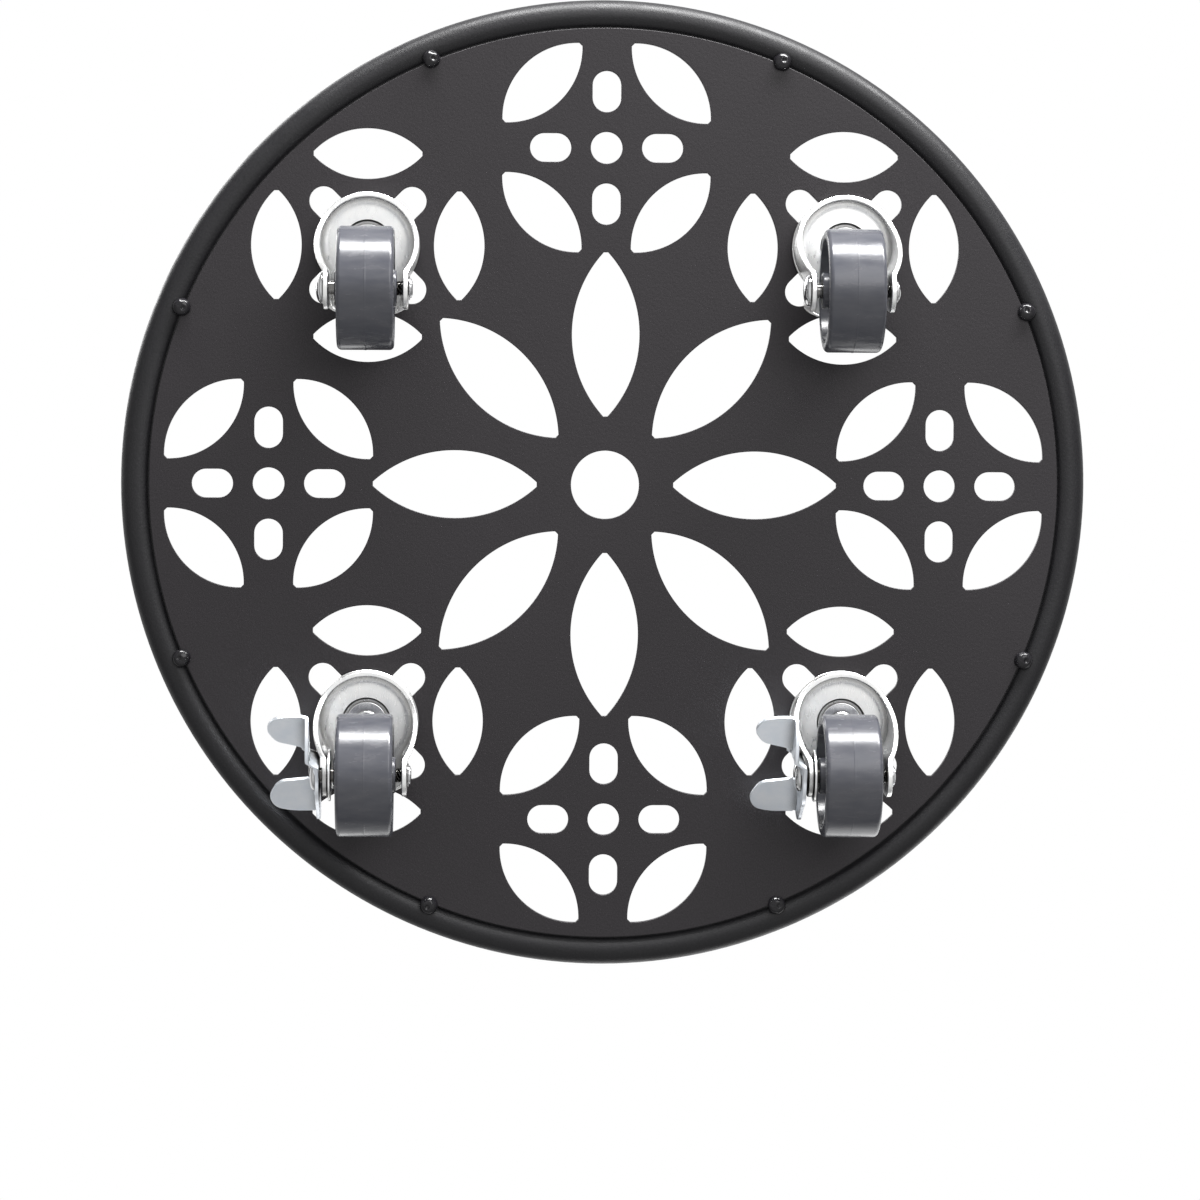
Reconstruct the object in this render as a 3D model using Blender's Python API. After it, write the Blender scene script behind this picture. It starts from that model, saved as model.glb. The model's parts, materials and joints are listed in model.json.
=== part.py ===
"""Round furniture dolly: a perforated steel deck in a bent tube ring, on four swivel castors, two of them braked.

Frame: metres, +Z up, origin on the floor under the middle of the deck, +X forward. The castors trail
towards -X, and the brake levers are on the -Y side of the two rear ones. Each piece is one object, and a
moving piece hangs under an empty that sits on its joint's axis.
"""

from math import atan2, cos, pi, radians, sin, sqrt, tan, tau

import bmesh
import bpy
from mathutils import Matrix, Vector

GAP = 0.0003  # left between pieces that touch
SHEET_EPS = 0.004  # how far a cutter runs past what it cuts

# Ring and deck
RING_RADIUS = 0.200  # outside
TUBE_DIAMETER = 0.013
RING_TOP = 0.076
RING_STEPS = 48
TUBE_SIDES = 12
DECK_THICKNESS = 0.0025
DECK_RADIUS = 0.18805  # the tube's inner side at the deck's top, less the gap
WELD_RADIUS = 0.00375
WELD_HEIGHT = 0.0028
WELD_CIRCLE = 0.189
WELDS = 8

# Pattern of the deck: one flower in the middle, eight rosettes round it
ARMS = 8
CENTRE_HOLE_RADIUS = 0.0141
PETAL_CIRCLE = 0.0621
PETAL_LENGTH = 0.0696
PETAL_WIDTH = 0.028
ROSETTE_CIRCLE = 0.1389
ROSETTE_HOLE_RADIUS = 0.00655
SLOT_CIRCLE = 0.0231
SLOT_LENGTH = 0.017
SLOT_WIDTH = 0.0118
LEAF_CIRCLE = 0.0376
LEAF_LENGTH = 0.0463
LEAF_WIDTH = 0.0208
TIP_ROUNDING = 0.0009  # half the width at which a pointed hole is cut blunt

# Castors
CASTOR_OFFSET = ROSETTE_CIRCLE * cos(pi / ARMS * 2)  # from the middle along X and along Y
TRAIL = 0.019
WHEEL_RADIUS = 0.025
WHEEL_WIDTH = 0.023
TREAD_CORNER = 0.0018
RIM_INNER_RADIUS = 0.0208
WEB_WIDTH = 0.012
HUB_RADIUS = 0.0075
HUB_WIDTH = 0.025
WHEEL_STEPS = 20
AXLE_RADIUS = 0.003
SLEEVE_RADIUS = 0.004

# Fork: pressed sheet with a round head and two legs
FORK_SHEET = 0.002
FORK_TOP = 0.0588
FORK_CORNER = 0.0023
HEAD_RADIUS = 0.02125
LEG_HALF_WIDTH = 0.0170  # outside
NECK_FILLET = 0.004  # where the round head runs into the legs
SKIRT_BOTTOM = 0.052
LEG_END_RADIUS = 0.0086
LEG_REAR_TOP = 0.005  # how far the leg's rear edge is behind the axle at its top
LEG_FRONT_SLOPE = radians(54.6)
LIP_REAR = 0.0095  # how far the top wall reaches behind the axle
RACE_DOME_TOP = 0.0603
RACE_DOME_FOOT_RADIUS = 0.019
RACE_DOME_TOP_RADIUS = 0.0156
RECESS_RADIUS = 0.0099
RECESS_TOP = 0.0583
FORK_HOLE_RADIUS = 0.0065

# Swivel bearing and its fastening through the deck
BALL_RADIUS = 0.00125
BALL_CIRCLE = 0.0126
RACE_HALF_WIDTH = 0.00165
PLATE_RADIUS = 0.0215
PLATE_THICKNESS = 0.0016
STUD_RADIUS = 0.005
NECK_RADIUS = 0.004
STUD_TOP = 0.0746
RIVET_HEIGHT = 0.0016
RIVET_HOLLOW_RADIUS = 0.0038
RACE_WASHER_RADIUS = 0.0085
RACE_WASHER_THICKNESS = 0.0012
RACE_WASHER_BOTTOM = 0.0568
DECK_WASHER_RADIUS = 0.010
DECK_WASHER_THICKNESS = 0.002
DECK_NUT_FLATS = 0.016
DECK_NUT_HEIGHT = 0.005
AXLE_NUT_RADIUS = 0.0048
AXLE_NUT_HEIGHT = 0.0012
AXLE_TIP = 0.0004
AXLE_CAP_RADIUS = 0.00635
AXLE_CAP_HEIGHT = 0.0027

# Brake
LEVER_SHEET = 0.0015
LEVER_CLEARANCE = 0.0012  # between the leg and the lever
LEVER_JOGGLE = 0.0038  # how far the front lobe is stepped out, to pass the fork's neck
JOGGLE_START = 0.0066  # ahead of the axle, clear of its cap
JOGGLE_END = 0.0088
JOGGLE_TILT = radians(10)
EAR_REACH = 0.0213  # from the lever's inner face, the same for both ears
EAR_CORNER = 0.006
BRAKE_PLATE_RADIUS = 0.0105
BRAKE_PLATE_THICKNESS = 0.0010

# Facets round small pieces
SMALL_STEPS = 10
RACE_STEPS = 14
PLATE_STEPS = 18

# Worked out from the above
TUBE_RADIUS = TUBE_DIAMETER / 2
RING_CENTRELINE = RING_RADIUS - TUBE_RADIUS
DECK_BOTTOM = RING_TOP - TUBE_DIAMETER
DECK_TOP = DECK_BOTTOM + DECK_THICKNESS
PLATE_TOP = DECK_BOTTOM - GAP
PLATE_BOTTOM = PLATE_TOP - PLATE_THICKNESS
DECK_WASHER_BOTTOM = DECK_TOP + GAP
DECK_NUT_BOTTOM = DECK_WASHER_BOTTOM + DECK_WASHER_THICKNESS + GAP
LEG_INSIDE = LEG_HALF_WIDTH - FORK_SHEET
BALL_HEIGHT = PLATE_BOTTOM - GAP - BALL_RADIUS
RIVET_TOP = RACE_WASHER_BOTTOM - GAP
LEVER_FACE = LEG_HALF_WIDTH + LEVER_CLEARANCE

CASTORS = {
    "rear_right": (-CASTOR_OFFSET, -CASTOR_OFFSET, True),
    "rear_left": (-CASTOR_OFFSET, CASTOR_OFFSET, True),
    "front_right": (CASTOR_OFFSET, -CASTOR_OFFSET, False),
    "front_left": (CASTOR_OFFSET, CASTOR_OFFSET, False),
}

FINISHES = {
    "black_powder_coat": ((0.030, 0.028, 0.030), 0.55, 0.0),
    "zinc_plate": ((0.62, 0.64, 0.66), 0.28, 1.0),
    "grey_plastic": ((0.065, 0.068, 0.080), 0.38, 0.0),
}


def clear_scene():
    for obj in list(bpy.data.objects):
        bpy.data.objects.remove(obj)


def add_materials():
    for name, (colour, roughness, metallic) in FINISHES.items():
        material = bpy.data.materials.new(name)
        material.use_nodes = True
        shader = material.node_tree.nodes["Principled BSDF"]
        shader.inputs["Base Color"].default_value = (*colour, 1)
        shader.inputs["Roughness"].default_value = roughness
        shader.inputs["Metallic"].default_value = metallic


# Outlines: lists of (x, y) points, in order round the shape


def arc(centre, radius, start, end, steps):
    """Points along an arc, both ends included, with the angles in radians."""
    angles = [start + (end - start) * i / steps for i in range(steps + 1)]
    return [(centre[0] + radius * cos(a), centre[1] + radius * sin(a)) for a in angles]


def circle(radius, steps):
    return arc((0, 0), radius, 0, tau, steps)[:-1]


def arc_through(first, middle, last, steps):
    """Points along the arc from first to last that passes through middle."""
    a, b, c = Vector(first), Vector(middle), Vector(last)
    ab, ac = b - a, c - a
    cross = 2 * (ab.x * ac.y - ab.y * ac.x)
    offset_x = (ac.y * ab.length_squared - ab.y * ac.length_squared) / cross
    offset_y = (ab.x * ac.length_squared - ac.x * ab.length_squared) / cross
    centre = a + Vector((offset_x, offset_y))
    start = atan2(a.y - centre.y, a.x - centre.x)
    end = atan2(c.y - centre.y, c.x - centre.x)
    if cross > 0 and end < start:
        end += tau
    if cross < 0 and end > start:
        end -= tau
    return arc(centre, (a - centre).length, start, end, steps)


def leaf(length, width, steps):
    """A pointed hole along X between two equal arcs, with blunt tips."""
    radius = (length**2 + width**2) / (4 * width)
    drop = radius - width / 2
    reach = atan2(sqrt(radius**2 - (drop + TIP_ROUNDING) ** 2), drop + TIP_ROUNDING)
    upper = arc((0, -drop), radius, pi / 2 - reach, pi / 2 + reach, steps)
    return upper + [(-x, -y) for x, y in upper]


def slot(length, width, steps):
    """A hole along X with round ends."""
    end = arc((length / 2 - width / 2, 0), width / 2, -pi / 2, pi / 2, steps)
    return end + [(-x, -y) for x, y in end]


def placed(outline, distance, angle, turn=0.0):
    """The outline given its own turn, moved out along X and then swung round the origin by angle."""
    facing = Matrix.Rotation(angle + turn, 2)
    centre = Vector((distance * cos(angle), distance * sin(angle)))
    return [tuple(facing @ Vector(point) + centre) for point in outline]


# Solids: each function returns a bmesh


def loft(loops):
    """A closed body through loops of 3-D points, the first and last loop capped."""
    bm = bmesh.new()
    rows = [[bm.verts.new(point) for point in loop] for loop in loops]
    bm.faces.new(rows[0])
    bm.faces.new(rows[-1])
    count = len(rows[0])
    for low, high in zip(rows, rows[1:]):
        for i in range(count):
            j = (i + 1) % count
            bm.faces.new((low[i], low[j], high[j], high[i]))
    bmesh.ops.recalc_face_normals(bm, faces=bm.faces)
    return bm


def prism(outline, bottom, top):
    return loft([[(x, y, z) for x, y in outline] for z in (bottom, top)])


def turned(profile, steps):
    """A body turned round Z from a closed profile of (radius, height) points."""
    bm = bmesh.new()
    verts = [bm.verts.new((radius, 0, height)) for radius, height in profile]
    edges = [bm.edges.new((a, b)) for a, b in zip(verts, verts[1:] + verts[:1]) if a.co.x or b.co.x]
    bmesh.ops.spin(bm, geom=verts + edges, axis=(0, 0, 1), cent=(0, 0, 0), angle=tau, steps=steps)
    bmesh.ops.remove_doubles(bm, verts=bm.verts, dist=1e-6)
    bmesh.ops.recalc_face_normals(bm, faces=bm.faces)
    return bm


def hexagon(flats):
    return [tuple(Vector(point) * (flats / 2 / cos(pi / 6))) for point in circle(1, 6)]


def joined(*bodies):
    """Several separate bodies in one bmesh, as one cutter."""
    out = bmesh.new()
    for body in bodies:
        mesh = bpy.data.meshes.new("body")
        body.to_mesh(mesh)
        out.from_mesh(mesh)
        bpy.data.meshes.remove(mesh)
    return out


def moved(bm, matrix):
    bmesh.ops.transform(bm, matrix=matrix, verts=bm.verts)
    return bm


ALONG_Y = Matrix.Rotation(-pi / 2, 4, "X")  # stands a shape built along Z up along Y


def bare_object(name, bm):
    mesh = bpy.data.meshes.new(name)
    bm.to_mesh(mesh)
    bm.free()
    obj = bpy.data.objects.new(name, mesh)
    bpy.context.collection.objects.link(obj)
    return obj


def shaped(name, body, *steps):
    """The mesh of a body after its Booleans, each step an (operation, bmesh) pair."""
    base = bare_object(name, body)
    tools = [bare_object("cutter", tool) for _, tool in steps]
    for (operation, _), tool in zip(steps, tools):
        tool.hide_render = True
        tool.display_type = "WIRE"
        modifier = base.modifiers.new(operation.lower(), "BOOLEAN")
        modifier.operation = operation
        modifier.object = tool
    graph = bpy.context.evaluated_depsgraph_get()
    mesh = bpy.data.meshes.new_from_object(base.evaluated_get(graph))
    for helper in [base, *tools]:
        bpy.data.objects.remove(helper)
    mesh.name = name
    return mesh


def place(name, mesh, finish, parent=None, at=(0, 0, 0)):
    """One piece of the dolly, from a mesh that its copies may share, at a place relative to its parent."""
    mesh.shade_smooth()
    mesh.set_sharp_from_angle(angle=radians(35))
    if not mesh.materials:
        mesh.materials.append(bpy.data.materials[finish])
    obj = bpy.data.objects.new(name, mesh)
    bpy.context.collection.objects.link(obj)
    obj.parent = parent
    obj.location = at
    return obj


def joint_empty(name, at, parent=None):
    obj = bpy.data.objects.new(name, None)
    bpy.context.collection.objects.link(obj)
    obj.parent = parent
    obj.location = at
    return obj


# Ring and deck


def ring_mesh():
    height = RING_TOP - TUBE_RADIUS
    profile = arc((RING_CENTRELINE, height), TUBE_RADIUS, 0, tau, TUBE_SIDES)[:-1]
    return shaped("rim_tube", turned(profile, RING_STEPS))


def deck_holes():
    outlines = [circle(CENTRE_HOLE_RADIUS, 16)]
    for arm in range(ARMS):
        angle = tau * arm / ARMS
        outlines.append(placed(leaf(PETAL_LENGTH, PETAL_WIDTH, 6), PETAL_CIRCLE, angle))
        outlines += [placed(hole, ROSETTE_CIRCLE, angle) for hole in rosette_holes()]
    return outlines


def rosette_holes():
    """One round hole, four slots pointing away from it, and four leaves round them."""
    holes = [circle(ROSETTE_HOLE_RADIUS, 12)]
    for quarter in range(4):
        angle = pi / 2 * quarter
        holes.append(placed(slot(SLOT_LENGTH, SLOT_WIDTH, 3), SLOT_CIRCLE, angle))
        holes.append(placed(leaf(LEAF_LENGTH, LEAF_WIDTH, 5), LEAF_CIRCLE, angle + pi / 4, pi / 2))
    return holes


def deck_mesh():
    plate = prism(circle(DECK_RADIUS, RING_STEPS), DECK_BOTTOM, DECK_TOP)
    low, high = DECK_BOTTOM - SHEET_EPS, DECK_TOP + SHEET_EPS
    cutter = joined(*[prism(outline, low, high) for outline in deck_holes()])
    return shaped("deck_plate", plate, ("DIFFERENCE", cutter))


def weld_mesh():
    """A domed bead that hangs from a flat top at the origin."""
    dome = [
        (WELD_RADIUS * cos(a), -WELD_HEIGHT * sin(a)) for a in (0, radians(32), radians(62), pi / 2)
    ]
    dome[-1] = (0, -WELD_HEIGHT)
    return shaped("tack_weld", turned([(0, 0), *dome], 10))


# Castor pieces, in a castor's own frame: origin on the floor under the swivel axis


def fork_outline(inset, rear):
    """The fork seen from above: a round head that necks in to two parallel legs, ending at x = rear."""
    fillet_y = LEG_HALF_WIDTH + NECK_FILLET
    fillet_x = -sqrt((HEAD_RADIUS + NECK_FILLET) ** 2 - fillet_y**2)
    neck = atan2(fillet_y, fillet_x)
    head = arc((0, 0), HEAD_RADIUS - inset, -neck, neck, 10)
    fillet = arc((fillet_x, fillet_y), NECK_FILLET + inset, neck - pi, -pi / 2, 2)[1:]
    leg = [*fillet, (rear, LEG_HALF_WIDTH - inset)]
    return head + leg + [(x, -y) for x, y in reversed(leg)]


def fork_shell(inset, rear, bottom, top, corner):
    """A solid with the fork's outline and a rounded upper edge."""
    loops = [[(x, y, bottom) for x, y in fork_outline(inset, rear)]]
    for angle in (0, pi / 4, pi / 2):
        shrink = inset + corner * (1 - cos(angle))
        height = top - corner * (1 - sin(angle))
        loops.append([(x, y, height) for x, y in fork_outline(shrink, rear)])
    return loft(loops)


def leg_profile():
    """The fork seen from the side, as (x, z): skirt, sloping front edge, round leg end, rear edge and lip."""
    front = LEG_FRONT_SLOPE - pi / 2
    end = arc((-TRAIL, WHEEL_RADIUS), LEG_END_RADIUS, front, -pi, 6)
    rise = SKIRT_BOTTOM - end[0][1]
    corner = (end[0][0] + rise / tan(LEG_FRONT_SLOPE), SKIRT_BOTTOM)
    above = FORK_TOP + SHEET_EPS
    wall_bottom = FORK_TOP - FORK_SHEET
    return [
        *end,
        (-TRAIL - LEG_REAR_TOP, wall_bottom),
        (-TRAIL - LIP_REAR, wall_bottom),
        (-TRAIL - LIP_REAR, above),
        (HEAD_RADIUS + SHEET_EPS, above),
        (HEAD_RADIUS + SHEET_EPS, SKIRT_BOTTOM),
        corner,
    ]


def side_prism(profile, half_width):
    """A prism of an (x, z) profile, across Y."""
    return loft([[(x, y, z) for x, z in profile] for y in (-half_width, half_width)])


def cross_bore(radius, half_length):
    """A cylinder along Y through the axle's place."""
    bore = prism(circle(radius, SMALL_STEPS), -half_length, half_length)
    return moved(bore, Matrix.Translation((-TRAIL, 0, WHEEL_RADIUS)) @ ALONG_Y)


def race_head():
    """The raised middle of the fork's top: a dome with a ball groove above and a recess below."""
    wall = FORK_TOP - FORK_SHEET / 2
    return turned(
        [
            (FORK_HOLE_RADIUS, RECESS_TOP),
            (FORK_HOLE_RADIUS, RACE_DOME_TOP),
            (RACE_DOME_TOP_RADIUS, RACE_DOME_TOP),
            (RACE_DOME_FOOT_RADIUS, FORK_TOP),
            (RACE_DOME_FOOT_RADIUS - FORK_SHEET, wall),
            (RECESS_RADIUS, wall),
            (RECESS_RADIUS, RECESS_TOP),
        ],
        RACE_STEPS,
    )


def ball_groove():
    inner, outer = BALL_CIRCLE - RACE_HALF_WIDTH, BALL_CIRCLE + RACE_HALF_WIDTH
    floor = BALL_HEIGHT - BALL_RADIUS - GAP
    above = RACE_DOME_TOP + GAP
    return turned([(inner, above), (outer, above), (outer, floor), (inner, floor)], RACE_STEPS)


def fork_mesh():
    rear = -TRAIL - LIP_REAR - SHEET_EPS
    shell = fork_shell(0, rear, 0, FORK_TOP, FORK_CORNER)
    inner_top = FORK_TOP - FORK_SHEET
    inside = fork_shell(FORK_SHEET, rear - SHEET_EPS, -SHEET_EPS, inner_top, GAP)
    recess = prism(circle(RECESS_RADIUS, RACE_STEPS), inner_top - SHEET_EPS, FORK_TOP + SHEET_EPS)
    return shaped(
        "fork",
        shell,
        ("DIFFERENCE", inside),
        ("INTERSECT", side_prism(leg_profile(), HEAD_RADIUS + SHEET_EPS)),
        ("DIFFERENCE", cross_bore(AXLE_RADIUS + GAP, HEAD_RADIUS + SHEET_EPS)),
        ("DIFFERENCE", recess),
        ("UNION", race_head()),
        ("DIFFERENCE", ball_groove()),
    )


def wheel_mesh():
    """The wheel round the origin, its axis along Y."""
    half, web, hub = WHEEL_WIDTH / 2, WEB_WIDTH / 2, HUB_WIDTH / 2
    bore = SLEEVE_RADIUS + GAP
    side = [
        (bore, hub),
        (HUB_RADIUS, hub),
        (HUB_RADIUS, web),
        (RIM_INNER_RADIUS, web),
        (RIM_INNER_RADIUS + GAP, half),
        *arc((WHEEL_RADIUS - TREAD_CORNER, half - TREAD_CORNER), TREAD_CORNER, pi / 2, 0, 2),
    ]
    profile = side + [(radius, -across) for radius, across in reversed(side)]
    return shaped("wheel", moved(turned(profile, WHEEL_STEPS), ALONG_Y))


def tube_mesh(outer, inner, bottom, top, steps):
    profile = [(inner, bottom), (inner, top), (outer, top), (outer, bottom)]
    return shaped("tube", turned(profile, steps))


def nut_mesh(flats, bore, bottom, height):
    body = prism(hexagon(flats), bottom, bottom + height)
    hole = prism(circle(bore, SMALL_STEPS), bottom - SHEET_EPS, bottom + height + SHEET_EPS)
    return shaped("nut", body, ("DIFFERENCE", hole))


def along_axle(mesh):
    """Turns a mesh built along Z to lie along Y, for a piece on the axle."""
    mesh.transform(ALONG_Y)
    return mesh


def axle_mesh(cap_face):
    """A bolt along Y with a domed cap on its -Y side, whose flat face is cap_face from the middle."""
    dome = [
        (AXLE_CAP_RADIUS * cos(a), -cap_face - AXLE_CAP_HEIGHT * sin(a))
        for a in (0, radians(40), radians(70))
    ]
    end = LEG_HALF_WIDTH + GAP + AXLE_NUT_HEIGHT + AXLE_TIP
    top = (0, -cap_face - AXLE_CAP_HEIGHT)
    shank = [(0, end), (AXLE_RADIUS, end), (AXLE_RADIUS, -cap_face)]
    return along_axle(shaped("axle", turned([*shank, *dome, top], SMALL_STEPS)))


def kingpin_mesh():
    """The threaded stud: riveted over below the fork, and standing up through the deck."""
    shoulder = PLATE_BOTTOM - GAP
    base = RIVET_TOP - RIVET_HEIGHT
    chamfer = STUD_RADIUS / 6
    profile = [
        (0, base + RIVET_HEIGHT * 0.7),
        (RIVET_HOLLOW_RADIUS, base),
        (STUD_RADIUS, base + RIVET_HEIGHT * 0.2),
        (STUD_RADIUS, RIVET_TOP),
        (NECK_RADIUS, RIVET_TOP),
        (NECK_RADIUS, shoulder),
        (STUD_RADIUS, shoulder),
        (STUD_RADIUS, STUD_TOP - chamfer),
        (STUD_RADIUS - chamfer, STUD_TOP),
        (0, STUD_TOP),
    ]
    return shaped("kingpin", turned(profile, SMALL_STEPS))


def ball_ring_mesh():
    profile = arc((BALL_CIRCLE, BALL_HEIGHT), BALL_RADIUS, 0, tau, 4)[:-1]
    return shaped("ball_ring", turned(profile, RACE_STEPS))


# Brake pieces, round the axle's place: X forward, Z up, and the outline as (x, z)


def lever_outline():
    return [
        *arc_through((-0.0006, 0.0113), (0.0089, 0.0071), (0.0118, -0.0014), 5),
        *arc_through((0.0256, -0.0161), (0.0146, -0.0198), (0.0066, -0.0176), 5),
        *arc_through((-0.0020, -0.0121), (-0.0086, -0.0087), (-0.0123, -0.0018), 4),
        *arc_through((-0.0168, 0.0076), (-0.0193, 0.0140), (-0.0158, 0.0246), 5),
    ]


def joggled_sheet(outline):
    """A sheet of an (x, z) outline with its inner face at y = 0, stepped out towards -Y at its front."""
    bm = loft([[(x, y, z) for x, z in outline] for y in (0, -LEVER_SHEET)])
    ahead = Vector((cos(JOGGLE_TILT), 0, -sin(JOGGLE_TILT)))
    for distance in (JOGGLE_START, JOGGLE_END):
        geometry = [*bm.verts, *bm.edges, *bm.faces]
        bmesh.ops.bisect_plane(bm, geom=geometry, plane_co=ahead * distance, plane_no=ahead)
    for vert in bm.verts:
        step = (vert.co.dot(ahead) - JOGGLE_START) / (JOGGLE_END - JOGGLE_START)
        vert.co.y -= LEVER_JOGGLE * min(max(step, 0), 1)
    return bm


def ear(start, end, root):
    """A round-cornered tongue from y = -root to the ears' reach, on the edge between two (x, z) points."""
    along = Vector((end[0] - start[0], end[1] - start[1]))
    length = along.length
    reach = EAR_REACH - root
    corner_a = arc((length - EAR_CORNER, reach - EAR_CORNER), EAR_CORNER, 0, pi / 2, 4)
    corner_b = arc((EAR_CORNER, reach - EAR_CORNER), EAR_CORNER, pi / 2, pi, 4)
    outline = [(0, 0), (length, 0), *corner_a, *corner_b]
    tongue = prism(outline, -LEVER_SHEET, 0)
    along.normalize()
    across = Vector((0, -1, 0))
    first = Vector((along.x, 0, along.y))
    basis = Matrix((first, across, first.cross(across))).transposed().to_4x4()
    return moved(tongue, Matrix.Translation((start[0], -root, start[1])) @ basis)


def lever_mesh():
    """The brake lever: a sheet in the plane of the wheel, inner face at y = 0, with two ears."""
    bore = circle(AXLE_RADIUS + GAP, SMALL_STEPS)
    hole = moved(prism(bore, -SHEET_EPS, SHEET_EPS), ALONG_Y)
    rear_ear = ear((-0.0006, 0.0113), (-0.0158, 0.0246), 0)
    front_ear = ear((0.0256, -0.0161), (0.0118, -0.0014), LEVER_JOGGLE)
    sheet = joggled_sheet(lever_outline())
    return shaped(
        "brake_lever", sheet, ("UNION", rear_ear), ("UNION", front_ear), ("DIFFERENCE", hole)
    )


def shared_meshes():
    """The meshes that the four castors share, by piece."""
    sleeve_half = HUB_WIDTH / 2
    plate_bore = STUD_RADIUS + GAP
    neck_bore = NECK_RADIUS + GAP
    axle_bore = AXLE_RADIUS + GAP
    washer_top = RACE_WASHER_BOTTOM + RACE_WASHER_THICKNESS
    deck_washer_top = DECK_WASHER_BOTTOM + DECK_WASHER_THICKNESS
    nut_face = LEG_HALF_WIDTH + GAP
    cap_face = LEG_HALF_WIDTH + GAP
    brake_face = -LEG_INSIDE + GAP
    brake_end = brake_face + BRAKE_PLATE_THICKNESS
    sleeve = tube_mesh(SLEEVE_RADIUS, axle_bore, -sleeve_half, sleeve_half, SMALL_STEPS)
    brake = tube_mesh(BRAKE_PLATE_RADIUS, axle_bore, brake_face, brake_end, RACE_STEPS)
    nut_end = nut_face + AXLE_NUT_HEIGHT
    axle_nut = tube_mesh(AXLE_NUT_RADIUS, axle_bore, nut_face, nut_end, SMALL_STEPS)
    return {
        "castor_plate": tube_mesh(PLATE_RADIUS, plate_bore, PLATE_BOTTOM, PLATE_TOP, PLATE_STEPS),
        "kingpin": kingpin_mesh(),
        "race_washer": tube_mesh(
            RACE_WASHER_RADIUS, neck_bore, RACE_WASHER_BOTTOM, washer_top, SMALL_STEPS
        ),
        "ball_ring": ball_ring_mesh(),
        "deck_washer": tube_mesh(
            DECK_WASHER_RADIUS, plate_bore, DECK_WASHER_BOTTOM, deck_washer_top, RACE_STEPS
        ),
        "deck_nut": nut_mesh(DECK_NUT_FLATS, plate_bore, DECK_NUT_BOTTOM, DECK_NUT_HEIGHT),
        "fork": fork_mesh(),
        "wheel": wheel_mesh(),
        "wheel_bush": along_axle(sleeve),
        "axle_nut": along_axle(axle_nut),
        "axle": axle_mesh(cap_face),
        "braked_axle": axle_mesh(LEVER_FACE + LEVER_SHEET + GAP),
        "brake_lever": lever_mesh(),
        "brake_plate": along_axle(brake),
    }


def add_frame():
    place("deck_plate", deck_mesh(), "black_powder_coat")
    place("rim_tube", ring_mesh(), "black_powder_coat")
    bead = weld_mesh()
    for i in range(WELDS):
        angle = tau * (i + 0.5) / WELDS
        at = (WELD_CIRCLE * cos(angle), WELD_CIRCLE * sin(angle), DECK_BOTTOM - GAP)
        place(f"tack_weld_{i + 1}", bead, "black_powder_coat", at=at)


def add_castor(corner, x, y, braked, meshes):
    swivel = joint_empty(f"swivel_{corner}", (x, y, 0))
    for piece in ("castor_plate", "kingpin", "race_washer", "ball_ring", "deck_washer", "deck_nut"):
        place(f"{piece}_{corner}", meshes[piece], "zinc_plate", at=(x, y, 0))
    place(f"fork_{corner}", meshes["fork"], "zinc_plate", swivel)
    axle_at = (-TRAIL, 0, WHEEL_RADIUS)
    spin = joint_empty(f"spin_{corner}", axle_at, swivel)
    place(f"wheel_{corner}", meshes["wheel"], "grey_plastic", spin)
    place(f"wheel_bush_{corner}", meshes["wheel_bush"], "zinc_plate", swivel, axle_at)
    place(f"axle_nut_{corner}", meshes["axle_nut"], "zinc_plate", swivel, axle_at)
    axle = meshes["braked_axle" if braked else "axle"]
    place(f"axle_{corner}", axle, "zinc_plate", swivel, axle_at)
    if braked:
        pivot = joint_empty(f"brake_{corner}", axle_at, swivel)
        lever_at = (0, -LEVER_FACE, 0)
        place(f"brake_lever_{corner}", meshes["brake_lever"], "zinc_plate", pivot, lever_at)
        place(f"brake_plate_{corner}", meshes["brake_plate"], "zinc_plate", swivel, axle_at)


def main():
    clear_scene()
    add_materials()
    add_frame()
    meshes = shared_meshes()
    for corner, (x, y, braked) in CASTORS.items():
        add_castor(corner, x, y, braked, meshes)


main()
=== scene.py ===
"""Looks of the round furniture dolly: fine pieces over the frame, materials, light and camera."""

import json
import random
from math import atan2, ceil, cos, hypot, pi, radians, sin, sqrt, tan, tau

import bmesh
import bpy
from mathutils import Matrix, Vector, noise


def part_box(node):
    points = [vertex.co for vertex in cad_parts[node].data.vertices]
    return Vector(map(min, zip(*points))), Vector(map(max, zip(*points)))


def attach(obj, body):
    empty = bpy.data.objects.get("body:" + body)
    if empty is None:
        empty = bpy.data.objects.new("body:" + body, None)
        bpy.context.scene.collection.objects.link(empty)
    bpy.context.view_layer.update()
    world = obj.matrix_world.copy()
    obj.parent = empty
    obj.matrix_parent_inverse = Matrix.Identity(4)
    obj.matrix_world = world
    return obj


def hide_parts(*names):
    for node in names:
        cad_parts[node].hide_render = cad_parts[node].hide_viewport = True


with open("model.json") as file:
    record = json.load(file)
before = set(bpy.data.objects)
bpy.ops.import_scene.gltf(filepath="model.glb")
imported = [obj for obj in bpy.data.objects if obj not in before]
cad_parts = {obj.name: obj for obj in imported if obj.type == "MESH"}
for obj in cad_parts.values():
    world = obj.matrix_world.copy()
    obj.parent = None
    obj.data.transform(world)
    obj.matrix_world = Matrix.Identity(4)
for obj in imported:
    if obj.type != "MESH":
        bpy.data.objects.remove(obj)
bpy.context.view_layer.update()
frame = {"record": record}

MM = 0.001
BODIES = frame["record"]["behaviour"]["bodies"]
BODY_OF = {node: body for body, nodes in BODIES.items() for node in nodes}
CORNERS = ("rear_right", "rear_left", "front_right", "front_left")
BRAKED = ("rear_right", "rear_left")


def middle(node):
    low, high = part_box(node)
    return (low + high) / 2


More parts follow.
